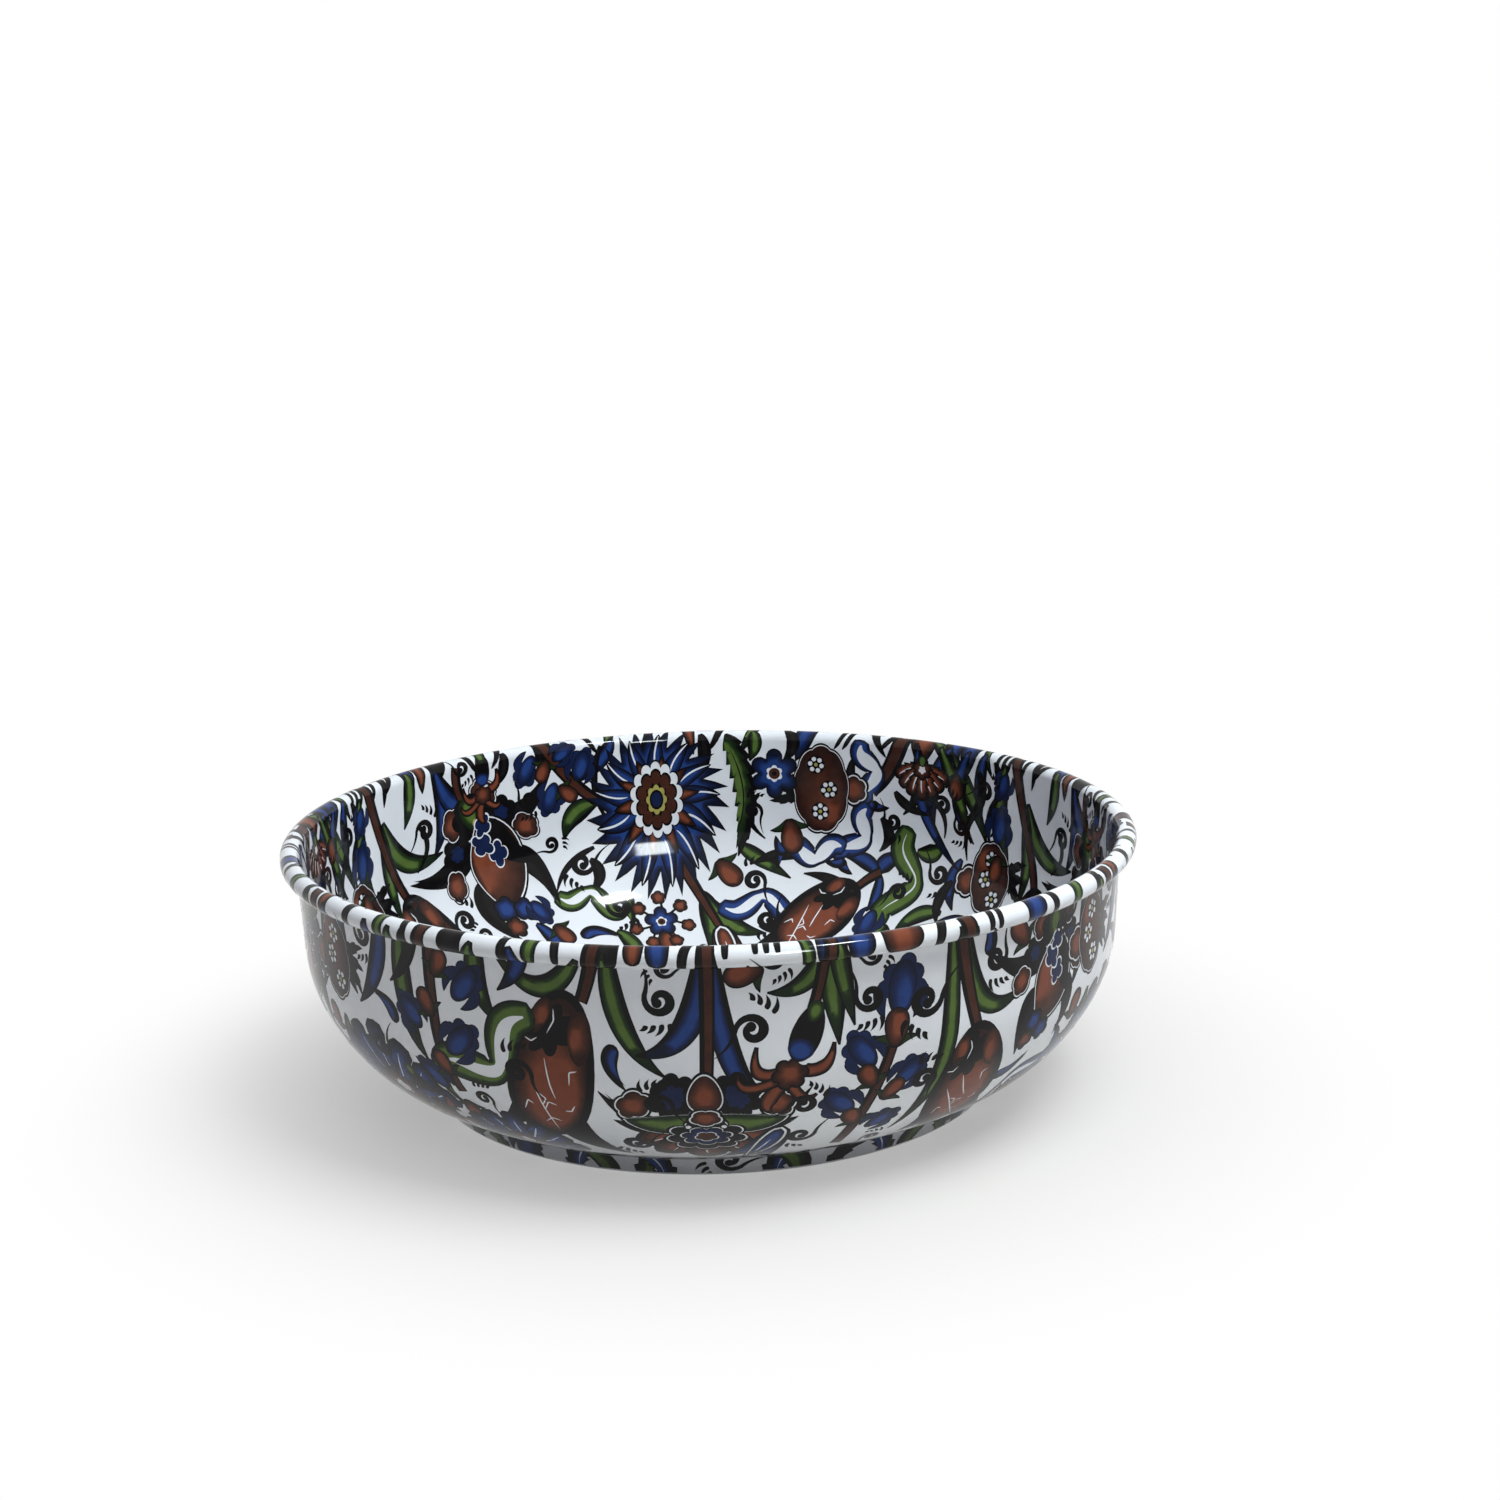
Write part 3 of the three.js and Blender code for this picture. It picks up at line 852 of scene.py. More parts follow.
# Places on the outside, as degrees round the repeat and way down from the crown of the rim.
# Tufts on the foot: degrees, colour, length, width, bend and teeth
TUFT_BASE, TUFT_LEAN = 103, 18
TUFTS = (
    (4, "green", 24, 7, 0.5, 5), (8, "cobalt", 22, 7, -0.4, 5), (28, "cobalt", 26, 8, 0.45, 6),
    (33, "green", 24, 6.5, -0.5, 0), (40, "dark", 18, 6, 0.5, 4), (51, "cobalt", 24, 7, -0.5, 5),
    (56, "green", 20, 6, 0.5, 0), (66, "green", 24, 7, -0.4, 6), (72, "cobalt", 20, 7, 0.5, 5),
    (84, "dark", 20, 6.5, 0.5, 4), (92, "green", 22, 6.5, -0.5, 5), (110, "cobalt", 24, 7.5, 0.45, 6),
    (117, "green", 20, 6, -0.4, 0),
)
# Fronds: colour, the places of base, pull and tip, and width
OUTSIDE_FRONDS = (
    ("green", (4.8, 3), (4.0, 31), (11.4, 43), 5.8), ("green", (1.6, 5), (-3, 30), (-10.5, 9), 5.8),
    ("cobalt", (16.2, 4), (16.4, 36), (7.8, 36.5), 7.0), ("cobalt", (17.4, 3), (17.6, 47), (25.4, 54), 6.0),
    ("green", (31.2, 6), (30, 21), (24, 19.5), 5), ("green", (31.6, 8), (32.2, 20), (33, 36), 6),
    ("green", (32.4, 2), (33, 14), (35, 31), 5), ("green", (48.4, 3), (50, 54), (44, 75), 5.2),
    ("green", (50.5, 4), (51.2, 44), (61.4, 30), 6), ("green", (75.5, 2), (77, 24), (72.5, 38), 6),
    ("cobalt", (81, 3), (79.5, 22), (84, 33), 6), ("green", (95, 3), (93, 30), (97.5, 47), 7),
    ("cobalt", (90.5, 3), (91, 24), (84.5, 35), 6.5), ("dark", (97.5, 2), (97, 18), (92, 25), 4),
    ("green", (108, 3), (105, 20), (110, 31), 6), ("cobalt", (113, 3), (114.5, 14), (110, 21), 5),
    ("green", (79, 42), (78, 58), (73, 62), 6),
)
# Stems: three places and width
OUTSIDE_STEMS = (
    ((3.6, -2), (3, 12), (1.2, 22), 3.6), ((16.7, -2), (16.9, 24), (16.3, 48), 3.4),
    ((31.5, -2), (31.4, 14), (29.6, 25), 2.8), ((49.4, -2), (50, 20), (53, 39), 4.0),
    ((100.6, -2), (98, 22), (101.5, 56), 3.4), ((77.5, -2), (78.5, 6), (78, 14), 3.4),
    ((36, 80), (37.5, 58), (40.6, 35), 3.0),
)
# Bells, cups and scrolls: degrees, way down, size and turn
OUTSIDE_BELLS = (
    (40.8, 34, 18.5, 6), (38.6, 46, 14, -38), (40.4, 54, 13, 42), (36.8, 62, 14, -44), (38.4, 72, 12, 46),
    (102.3, 28, 15, 40), (100.4, 44, 15, 48), (98.2, 38, 13, -46), (99.8, 58, 13, -40),
)
OUTSIDE_BUDS = (
    (40.5, 39, 11, 4), (38.2, 51, 8.5, -28), (40.0, 57, 8.5, 32), (37.2, 67, 8.5, -26), (100.2, 20, 8.5, 26),
    (99.5, 32, 8.5, -30), (101, 50, 8.5, -26), (101.2, 60, 8.5, 180),
)
OUTSIDE_SCROLLS = (
    (10.4, 21, 4.4, 200), (21.6, 29, 4.6, 10), (36.4, 24, 4.2, 190), (45.4, 28, 5.0, 190), (10.6, 52, 4.0, 0),
    (28.5, 54, 3.8, 20), (24.5, 10.5, 3.2, 170), (56.5, 20, 4.0, 160), (46.2, 52, 4.0, 20), (88, 47, 4.2, 180),
    (112.5, 44, 4.2, 10), (71.5, 14, 3.8, 200), (86, 14, 4.0, 190), (30, 70, 4.0, 180), (94.5, 68, 4.2, 30),
    (6.5, 72, 4.0, 190),
)


def draw_outside(side):
    add = side.add
    for degrees, colour, length, width, bend, teeth in TUFTS:
        add(leaf(colour, length, width, bend, teeth), degrees, TUFT_BASE, math.copysign(TUFT_LEAN, bend))
    for colour, *places, width in OUTSIDE_FRONDS:
        side.frond(colour, *places, width=width)
    for *places, width in OUTSIDE_STEMS:
        side.stem(*places, width=width)
    add(tulip(53, 25), -0.6, 19, 194)
    add(cloud_band(40, 11), 115, 27, 229)
    add(palmette(44), 16.1, 43, 180)
    add(iris(27), 30.2, 24.5, 201)
    for degrees, down, size, turn in OUTSIDE_BELLS:
        add(bell(size), degrees, down, turn)
    for degrees, down, size, turn in OUTSIDE_BUDS:
        add(bud(size), degrees, down, turn)
    add(tulip(44, 25), 53.2, 37, 176)
    add(lotus(38), 67.8, 9, 184)
    add(carnation_fan(30), 86, 70, 4)
    add(pomegranate(17, 25), 78, 12, 176)
    add(carnation_fan(22), 106, 84, 10)
    add(cloud_band(34, 8, "cobalt"), 61, 82, 40)
    add(carnation_fan(20), 68, 78, 176)
    add(slim_tulip("cobalt"), 26.5, 64, 200)
    add(iris(24), 92, 52, 170)
    add(palmette(30), 75, 68, 190)
    for k, (degrees, down, size, turn) in enumerate(OUTSIDE_SCROLLS):
        add(centred(scroll(size)), degrees, down, turn, flip=k % 2 == 1)
    fill_ground(side, seed=7)


# Places on the inside, in the same way, with the degrees counted to the right as seen from inside
INSIDE_FRONDS = (
    ("cobalt", (19, 3), (22.5, 20), (18, 33), 5.5), ("cobalt", (19.6, 3), (23, 26), (29.6, 14), 7.5),
    ("green", (7, 15), (9.5, 38), (20, 31.5), 7), ("green", (6.5, 16), (7.5, 34), (7.5, 51), 5.5),
    ("green", (13.6, 1), (14.6, 10), (12, 20), 5), ("green", (49, 24.5), (44, 25), (43, 36), 7),
    ("green", (66, 59), (68.5, 70), (67, 84), 8), ("green", (66.5, 60), (70, 76), (78.5, 76), 7),
    ("green", (72.5, 42), (75, 46), (81.8, 54), 5), ("cobalt", (97.5, 50), (97.6, 44.5), (102.4, 42), 6),
    ("cobalt", (97.5, 50), (95, 44), (90.5, 44.5), 5), ("cobalt", (97.8, 50), (98.6, 58), (97, 64), 4),
    ("green", (106, 0), (113, 10), (118, 34), 6.5), ("dark", (109, 0), (110, 14), (113.6, 24), 4),
    ("cobalt", (113.5, 2), (109, 22), (115, 34), 5.5), ("cobalt", (117, 2), (115, 12), (116.5, 26), 4.5),
    ("green", (104, 40), (108, 42), (108.6, 35), 6), ("dark", (94, 60), (90, 52), (84, 52), 3.5),
    ("green", (112, 60), (106, 60), (104, 72), 6), ("dark", (1, 46), (4, 60), (2, 72), 5),
    ("cobalt", (34, 64), (38, 74), (36, 86), 6), ("green", (27, 66), (24, 76), (26, 88), 7),
    ("green", (49, 72), (53, 80), (52, 90), 7), ("cobalt", (92, 80), (96, 84), (104, 82), 6),
    ("dark", (47, 44), (50, 50), (46, 56), 4), ("dark", (103, 2), (106, 18), (101, 28), 4.5),
    ("cobalt", (110, 2), (105, 14), (107, 32), 5), ("dark", (115.5, 8), (118, 20), (113, 26), 3.5),
    ("dark", (119, 4), (123, 20), (118.5, 30), 4.5), ("green", (1.5, 4), (-1, 24), (3, 38), 6),
    ("cobalt", (52, 2), (50.5, 10), (46, 16), 5), ("dark", (66.5, 2), (68, 10), (66, 18), 4),
    ("dark", (81, 1), (83, 6), (80, 12), 4), ("green", (75, 1), (76, 6), (74.5, 12), 4.5),
    ("dark", (97, 30), (100, 36), (97, 42), 3.5), ("cobalt", (113, 40), (110, 50), (114, 58), 5),
    ("dark", (33, 2), (33.5, 8), (31.5, 13), 3.5), ("cobalt", (103.6, 3), (102.4, 30), (112.6, 44), 4),
    ("green", (107.6, 2), (111, 16), (114.4, 34), 5), ("dark", (99.5, 20), (101, 26), (106, 27), 3),
    ("dark", (99, 42), (104, 46), (106, 55), 3), ("cobalt", (118, 60), (113, 62), (109, 72), 5),
    ("dark", (83, 46), (79, 44), (75, 49), 3.5), ("dark", (92, 10), (90.5, 20), (93, 30), 3),
    ("dark", (112, 48), (109, 56), (112, 64), 4), ("dark", (104, 20), (110, 22), (109, 34), 1.5),
    ("dark", (116, 22), (112, 28), (114, 40), 1.5), ("dark", (121, 14), (116, 22), (119, 36), 1.5),
    ("dark", (76, 24), (72, 32), (77, 40), 1.6), ("dark", (48, 40), (42, 44), (40, 54), 1.6),
    ("dark", (15, 20), (19, 28), (14, 36), 1.5), ("dark", (50, 4), (47, 20), (51, 32), 1.6),
    ("dark", (84, 60), (88, 68), (84, 78), 1.8),
)
INSIDE_STEMS = (
    ((3.4, -2), (5, 18), (10.6, 44), 4.0), ((39.5, -2), (43, 14), (49, 23.5), 4.2),
    ((62.5, 48), (66, 62), (69.4, 74), 3.4), ((101, -2), (99, 14), (95.5, 20), 5.6),
    ((98, 49), (96, 51), (93.4, 57), 3.0), ((24, 4), (23, 12), (26, 20), 3.0),
)
INSIDE_BELLS = (
    (37, 10, 13, -150), (41, 21, 13, 200), (46.6, 10, 13, 20), (43.6, 5, 10, 60), (0.5, 25, 15, 10), (98, 69, 13, 190),
    (1, 12, 11, 200), (36, 60, 11, 150),
)
INSIDE_BUDS = (
    (42.6, 17, 8, 130), (40.6, 7, 8, 200), (0.4, 36, 9, 180), (81, 33, 12, 170), (111, 11, 9, 180), (58, 84, 10, 10),
    (37.4, 66, 9, 150),
)
INSIDE_SCROLLS = (
    (36.4, 20, 3.4, 190), (16, 22, 4.0, 10), (24.6, 5, 3.0, 170), (46, 46, 4.4, 200), (76, 55, 4.0, 10),
    (79, 70, 4.0, 160), (108.4, 47, 4.0, 180), (108, 22, 3.6, 20), (111.8, 29, 3.2, 200), (101.5, 55, 3.4, 0),
    (98.6, 31, 3.4, 190), (116.6, 14, 3.6, 30), (50, 63, 4.4, 180), (20, 56, 4.0, 10), (75.5, 30, 3.2, 20),
)


def drawn_out(outline):
    """Outline of the wheel made longer along the wall: the heart evenly, the petals more below than above."""
    heart = np.abs(outline).max() < 10.5
    stretch = 1.45 if heart else np.where(outline[:, 1] < 0, 1.42, 1.04)
    return np.column_stack((outline[:, 0], outline[:, 1] * stretch))


def draw_inside(side):
    def seen(places):
        return [(REPEAT_DEGREES - d, s) for d, s in places]

    def add(shapes, degrees, down, turn=0.0, flip=False):
        side.add(shapes, REPEAT_DEGREES - degrees, down, -turn, not flip)

    for colour, *places, width in INSIDE_FRONDS:
        side.frond(colour, *seen(places), width=width)
    for *places, width in INSIDE_STEMS:
        side.stem(*seen(places), width=width)
    add(leaf("green", 42, 9.5, 0.22, 8), 70.4, 3, 158)
    add(cloud_band(36, 9, pale=0.1), 102.4, 32, 178)
    add(cloud_band(30, 8, "cobalt"), 69, 64.5, 90)
    add(cloud_band(24, 7), 39.5, 55, 106)
    for degrees, down, turn in ((93.5, 3, 165), (95, 26, 200), (91, 42, 260)):
        add(cloud_band(22, 7.5, "cobalt", 0.75), degrees, down, turn)
    add(reshaped(carnation_wheel(25), drawn_out), 59, 25)
    add(lotus(48), 24.5, 13, 158)
    add(pomegranate(20, 31), 86.5, 37, 0)
    add(pomegranate(17, 25), 118.5, 32, 168)
    add(tulip(44, 24), 10.4, 42, 166)
    add(tulip(35, 23), 94, 54, 220)
    add(iris(19), 29, 1, 182)
    add(slim_tulip("red"), 69.2, 73, 164)
    for degrees, down, size, turn in INSIDE_BELLS:
        add(centred(bell(size)), degrees, down, turn)
    for degrees, down, size, turn in INSIDE_BUDS:
        add(bud(size), degrees, down, turn)
    add(carnation_fan(12.5, "red"), 104.4, 9, 180)
    add(blossom(8.5), 78.6, 16.5)
    add(starlet(9.5), 58, 70)
    add(carnation_fan(17), 112, 70, 165)
    for k, (degrees, down, size, turn) in enumerate(INSIDE_SCROLLS):
        add(centred(scroll(size)), degrees, down, turn, flip=k % 2 == 1)
    fill_ground(side, seed=11)


def draw_floor(side):
    add = side.add
    for k in range(6):
        turn = 60 * k
        add(leaf("green", 34, 7.5, 0.35), turn + 14, 22, 12)
        add(leaf("cobalt", 30, 7.5, -0.35, 6), turn - 14, 24, -12)
        if k % 2:
            add(palmette(32), turn, 46)
        else:
            add(tulip(36, 22), turn, 44)
        add(carnation_fan(15), turn + 30, 66, 8)
        add(leaf("green", 24, 5.5, 0.4), turn + 20, 66, 20)
        add(leaf("green", 24, 5.5, -0.4), turn - 20, 66, -20)
    add(carnation_wheel(24), 0, 0)
    fill_ground(side, seed=5)


# Cutting the print to pieces, one sheet for each pigment


def thinned(outline):
    """Outline without the points that lie almost on the line between their neighbours."""
    for _ in range(2):
        if len(outline) < 10:
            break
        before, after = np.roll(outline, 1, axis=0), np.roll(outline, -1, axis=0)
        d, e = after - before, outline - before
        off = np.abs(d[:, 0] * e[:, 1] - d[:, 1] * e[:, 0]) / np.maximum(np.hypot(*d.T), 1e-9)
        odd = np.arange(len(outline)) % 2 == 1
        outline = outline[~(odd & (off < STRAIGHT_ENOUGH))]
    return outline


def cut_triangles(side, shapes):
    """Points and triangles of the unrolled print, cut along every outline, core and facet line."""
    points, edges, count = [], [], 0
    loops = [o for _, o, _ in shapes] + [q for _, _, q in shapes if q is not None]
    for path, closed in [(o, True) for o in loops] + [(g, False) for g in side.grid()]:
        n = len(path)
        points.append(path)
        edges += [(count + k, count + (k + 1) % n) for k in range(n if closed else n - 1)]
        count += n
    at, _, triangles, *_ = delaunay_2d_cdt([tuple(p) for p in np.vstack(points)], edges, [], 0, PRINT_WELD, False)
    at, triangles = np.array(at), np.array(triangles)
    corners = at[triangles]
    area = np.cross(corners[:, 1] - corners[:, 0], corners[:, 2] - corners[:, 0])
    return at, triangles[side.keep(corners.mean(1)) & (np.abs(area) > LEAST_AREA)]


def cut_print(side):
    """Points and triangles of the print, the pigment on top, and how far its wash has thinned at each corner."""
    shapes = [(c, thinned(o), None if q is None else thinned(q)) for c, o, q in side.repeated(side.shapes)]
    at, triangles = cut_triangles(side, shapes)
    centres = at[triangles].mean(1)
    top = np.full(len(triangles), -1)
    order = np.argsort(centres[:, 0])
    sorted_x = centres[order, 0]
    for k, (_, outline, _) in enumerate(shapes):
        low, high = outline.min(0), outline.max(0)
        near = order[np.searchsorted(sorted_x, low[0]):np.searchsorted(sorted_x, high[0])]
        near = near[(centres[near, 1] > low[1]) & (centres[near, 1] < high[1])]
        top[near[inside_outline(centres[near], outline)]] = k
    wash = np.full((len(triangles), 3), EVEN_WASH)
    by_shape = np.argsort(top, kind="stable")
    starts = np.searchsorted(top[by_shape], np.arange(len(shapes) + 1))
    for k, (_, outline, core) in enumerate(shapes):
        mine = by_shape[starts[k]:starts[k + 1]]
        if core is None or not len(mine):
            continue
        used, back = np.unique(triangles[mine], return_inverse=True)
        out = distance_to(at[used], outline)
        into = np.where(inside_outline(at[used], core), 0.0, distance_to(at[used], core))
        wash[mine] = (out / np.maximum(out + into, 1e-6))[back].reshape(-1, 3)
    colours = np.array([PIGMENTS.index(c) if c in PIGMENTS else -1 for c, _, _ in shapes] + [-1])
    return at, triangles, colours[top], wash


def on_facets(side, angle, way):
    """Places just above the bowl's facets, in metres, and the smooth normals there."""
    lean = path_normals(side.path) * side.outward
    proud = side.path + lean * PRINT_HEIGHT
    radius, height = (np.interp(way, side.way, proud[:, k]) for k in (0, 1))
    slope = np.column_stack([np.interp(way, side.way, lean[:, k]) for k in (0, 1)])
    slope /= np.linalg.norm(slope, axis=1)[:, None]
    step = TAU / TURN_STEPS
    near = np.floor(angle / step + 1e-6)
    part = angle / step - near
    flat_x = (1 - part) * np.cos(near * step) + part * np.cos((near + 1) * step)
    flat_y = (1 - part) * np.sin(near * step) + part * np.sin((near + 1) * step)
    return (np.column_stack((radius * flat_x, radius * flat_y, height)) / 1000,
            np.column_stack((slope[:, 0] * np.cos(angle), slope[:, 0] * np.sin(angle), slope[:, 1])))


def print_sheet(name, cuts, pigment):
    """Sheet of one pigment, lying on the bowl's facets just above the white coat."""
    places, faces, normals, bakes, washes, count = [], [], [], [], [], 0
    for side, (at, triangles, pigments, wash), turns in cuts:
        mine = pigments == PIGMENTS.index(pigment)
        used, back = np.unique(triangles[mine], return_inverse=True)
        if not len(used):
            continue
        back = back.reshape(-1, 3)
        angle, way = side.angle_and_way(at[used])
        place, normal = on_facets(side, angle, way)
        corner = place[back]
        facing = np.cross(corner[:, 1] - corner[:, 0], corner[:, 2] - corner[:, 0])
        turned = (facing * normal[back[:, 0]]).sum(1) < 0
        rinse = wash[mine].copy()
        for corners in (back, rinse):
            corners[turned] = corners[turned][:, ::-1]
        for k in range(turns):
            spin = TAU * k / turns
            c, s = math.cos(spin), math.sin(spin)
            spun = np.array(((c, s, 0), (-s, c, 0), (0, 0, 1)))
            places.append(place @ spun)
            normals.append(normal @ spun)
            bakes.append(side.bake_place(angle - math.radians(side.first_angle) + spin, way))
            faces.append(back + count)
            washes.append(rinse)
            count += len(place)
    faces = np.vstack(faces)
    mesh = bpy.data.meshes.new(name)
    mesh.from_pydata(np.vstack(places).tolist(), [], faces.tolist())
    mesh.attributes.new("wash", "FLOAT", "CORNER").data.foreach_set("value", np.vstack(washes).ravel())
    mesh.uv_layers.new(name="OFBake").data.foreach_set("uv", np.vstack(bakes)[faces.ravel()].ravel())
    mesh.shade_smooth()
    mesh.normals_split_custom_set_from_vertices(np.vstack(normals).tolist())
    piece = bpy.data.objects.new(name, mesh)
    bpy.context.scene.collection.objects.link(piece)
    return piece


# White coats, turned from their sections


def select_every_vertex():
    bpy.ops.mesh.select_all(action="SELECT")


def turned_coat(name, section):
    """Coat made by drawing its closed section point by point and spinning it about the bowl's axis."""
    bpy.ops.object.select_all(action="DESELECT")
    bpy.ops.mesh.primitive_plane_add(size=0.001, location=(0, 0, 0))
    piece = bpy.context.object
    piece.name = piece.data.name = name
    bpy.ops.object.mode_set(mode="EDIT")
    bpy.ops.mesh.select_mode(type="VERT")
    select_every_vertex()
    bpy.ops.mesh.merge(type="CENTER")
    points = [(r / 1000, 0.0, z / 1000) for r, z in section]
    bpy.ops.transform.translate(value=points[0])
    for a, b in zip(points, points[1:]):
        bpy.ops.mesh.extrude_region_move(TRANSFORM_OT_translate={"value": tuple(q - p for p, q in zip(a, b))})
    bpy.ops.object.mode_set(mode="OBJECT")
    for v in piece.data.vertices:
        if sum(v.index in e.vertices for e in piece.data.edges) == 1:
            v.select = True
    bpy.ops.object.mode_set(mode="EDIT")
    bpy.ops.mesh.edge_face_add()
    select_every_vertex()
    bpy.ops.mesh.spin(steps=TURN_STEPS, angle=TAU, center=(0, 0, 0), axis=(0, 0, 1))
    select_every_vertex()
    bpy.ops.mesh.remove_doubles(threshold=WELD)
    bpy.ops.mesh.delete_loose()
    select_every_vertex()
    bpy.ops.mesh.normals_make_consistent(inside=False)
    bpy.ops.object.mode_set(mode="OBJECT")
    bpy.ops.object.shade_smooth_by_angle(angle=SMOOTH_ANGLE)
    return piece


def coat_section(face, outward):
    """Closed section of a coat under a visible face."""
    return np.vstack((face, (face - path_normals(face) * outward * COAT)[::-1]))


def steel_section():
    """Closed section of the drawn sheet between the coats, with its rolled rim."""
    start, end = math.pi - WALL_DRAFT, math.radians(-100)
    roll = arc(CURL_MIDDLE, BEAD_RADIUS - STEEL_DEPTH, start, end, ROLL_STEPS)
    tuck = arc(CURL_MIDDLE, BEAD_RADIUS - THICKNESS + STEEL_DEPTH, end, start, TUCK_STEPS)
    return np.vstack((wall_face(THICKNESS - STEEL_DEPTH), roll[1:], tuck, wall_face(STEEL_DEPTH)[::-1][1:]))


# Finishes


def wire(tree, *links):
    """Links given as node, output, node and input."""
    for source, output, target, entry in links:
        tree.links.new(source.outputs[output], target.inputs[entry])


def set_inputs(node, values):
    for socket, value in values.items():
        node.inputs[socket].default_value = value


def glaze_group():
    """Fired glaze: clouds in the colour, uneven gloss and a faint ripple, from the place on the bowl."""
    group = bpy.data.node_groups.new("fired_glaze", "ShaderNodeTree")
    for way, sockets in (("INPUT", ("Cloud Size", "Ripple Size")), ("OUTPUT", ("Cloud", "Gloss", "Ripple"))):
        for socket in sockets:
            group.interface.new_socket(name=socket, in_out=way, socket_type="NodeSocketFloat")
    entry, leave = group.nodes.new("NodeGroupInput"), group.nodes.new("NodeGroupOutput")
    kinds = ("TexCoord", "TexNoise", "TexNoise", "TexNoise", "MapRange")
    place, cloud, ripple, gloss, spread = (group.nodes.new("ShaderNode" + kind) for kind in kinds)
    set_inputs(cloud, {"Detail": 4})
    set_inputs(ripple, {"Detail": 2})
    set_inputs(gloss, {"Scale": 60})
    set_inputs(spread, {"To Min": 0.05, "To Max": 0.10})
    wire(group, *((place, "Object", noise, "Vector") for noise in (cloud, ripple, gloss)),
         (entry, "Cloud Size", cloud, "Scale"), (entry, "Ripple Size", ripple, "Scale"),
         (gloss, "Fac", spread, "Value"), (cloud, "Fac", leave, "Cloud"), (spread, "Result", leave, "Gloss"),
         (ripple, "Fac", leave, "Ripple"))
    return group


def fired_material(name, glaze, cloud_size, ripple_size, stops):
    """Material with the glaze's group and a colour ramp into its base colour."""
    material = bpy.data.materials.new(name)
    material.use_nodes = True
    tree = material.node_tree
    fired, ramp = tree.nodes.new("ShaderNodeGroup"), tree.nodes.new("ShaderNodeValToRGB")
    fired.node_tree = glaze
    set_inputs(fired, {"Cloud Size": cloud_size, "Ripple Size": ripple_size})
    ends = ramp.color_ramp.elements
    for element, (position, colour) in ((ends[0], stops[0]), (ends[1], stops[-1])):
        element.position, element.color = position, (*colour, 1)
    for position, colour in stops[1:-1]:
        ends.new(position).color = (*colour, 1)
    shader = tree.nodes["Principled BSDF"]
    wire(tree, (ramp, "Color", shader, "Base Color"))
    return material, tree, shader, fired, ramp


def white_enamel(glaze, name):
    material, tree, shader, fired, ramp = fired_material(
        name, glaze, 22, 260, ((0.3, (0.74, 0.755, 0.80)), (0.7, (0.83, 0.845, 0.88))))
    bump = tree.nodes.new("ShaderNodeBump")
    set_inputs(bump, {"Strength": 0.04, "Distance": 0.0004})
    wire(tree, (fired, "Cloud", ramp, "Fac"), (fired, "Gloss", shader, "Roughness"),
         (fired, "Ripple", bump, "Height"), (bump, "Normal", shader, "Normal"))
    set_inputs(shader, {"Specular IOR Level": 0.2})
    return material


# Each pigment at the outline, half way, and where its wash is thinnest
WASHES = {
    "dark": ((0.0042, 0.0038, 0.0042), (0.006, 0.0055, 0.006), (0.010, 0.009, 0.0095)),
    "cobalt": ((0.006, 0.009, 0.024), (0.010, 0.021, 0.085), (0.018, 0.050, 0.20)),
    "red": ((0.024, 0.010, 0.008), (0.082, 0.026, 0.015), (0.20, 0.053, 0.027)),
    "green": ((0.009, 0.018, 0.008), (0.017, 0.037, 0.010), (0.090, 0.150, 0.032)),
    "yellow": ((0.30, 0.26, 0.07), (0.45, 0.40, 0.11), (0.58, 0.52, 0.18)),
}


def print_pigment(glaze, pigment):
    """Fired pigment: deep at the outline, thinner in the middle of the shape, with the mottle of a brushed wash."""
    material, tree, shader, fired, ramp = fired_material(
        "print_" + pigment, glaze, 240, 260, tuple(zip((0.08, 0.55, 1.0), WASHES[pigment])))
    wash, mottle, total = (tree.nodes.new("ShaderNode" + kind) for kind in ("Attribute", "Math", "Math"))
    wash.attribute_name = "wash"
    mottle.operation = "MULTIPLY_ADD"
    set_inputs(mottle, {1: 0.5, 2: -0.25})
    total.operation = "ADD"
    total.use_clamp = True
    wire(tree, (fired, "Cloud", mottle, 0), (mottle, "Value", total, 0), (wash, "Fac", total, 1),
         (total, "Value", ramp, "Fac"))
    set_inputs(shader, {"Roughness": 0.075, "Specular IOR Level": 0.14})
    return material


def bare_steel(glaze):
    material, tree, shader, fired, ramp = fired_material(
        "drawn_steel", glaze, 90, 400, ((0.3, (0.26, 0.26, 0.27)), (0.7, (0.38, 0.38, 0.39))))
    wire(tree, (fired, "Cloud", ramp, "Fac"))
    set_inputs(shader, {"Metallic": 1.0, "Roughness": 0.4})
    return material


# Stage

ROOM_LIGHT = 0.285
ROOM_COLOUR = (0.94, 0.94, 1.0)
FLOOR_COLOUR = (0.62, 0.60, 0.57)
FLOOR_SIZE = 12
FLOOR_GLOW = 0.4
SHADOW_START, SHADOW_END = 0.085, 0.22
LAMP_COLOUR = (0.91, 0.985, 1.0)
LAMP_AIM = (0, 0, 0.04)
# Name, direction from the bowl, distance, width, height, watts, and whether only reflections show it
LAMPS = (("ceiling_panel", (0.34, -0.27, 0.90), 1.0, 0.55, 0.55, 11.2, False),
         ("ceiling_lamp", (0.38, -0.36, 0.85), 1.3, 0.2, 0.12, 15.0, True),
         ("window", (0.30, -0.88, 0.37), 1.6, 0.28, 0.34, 24.0, True))


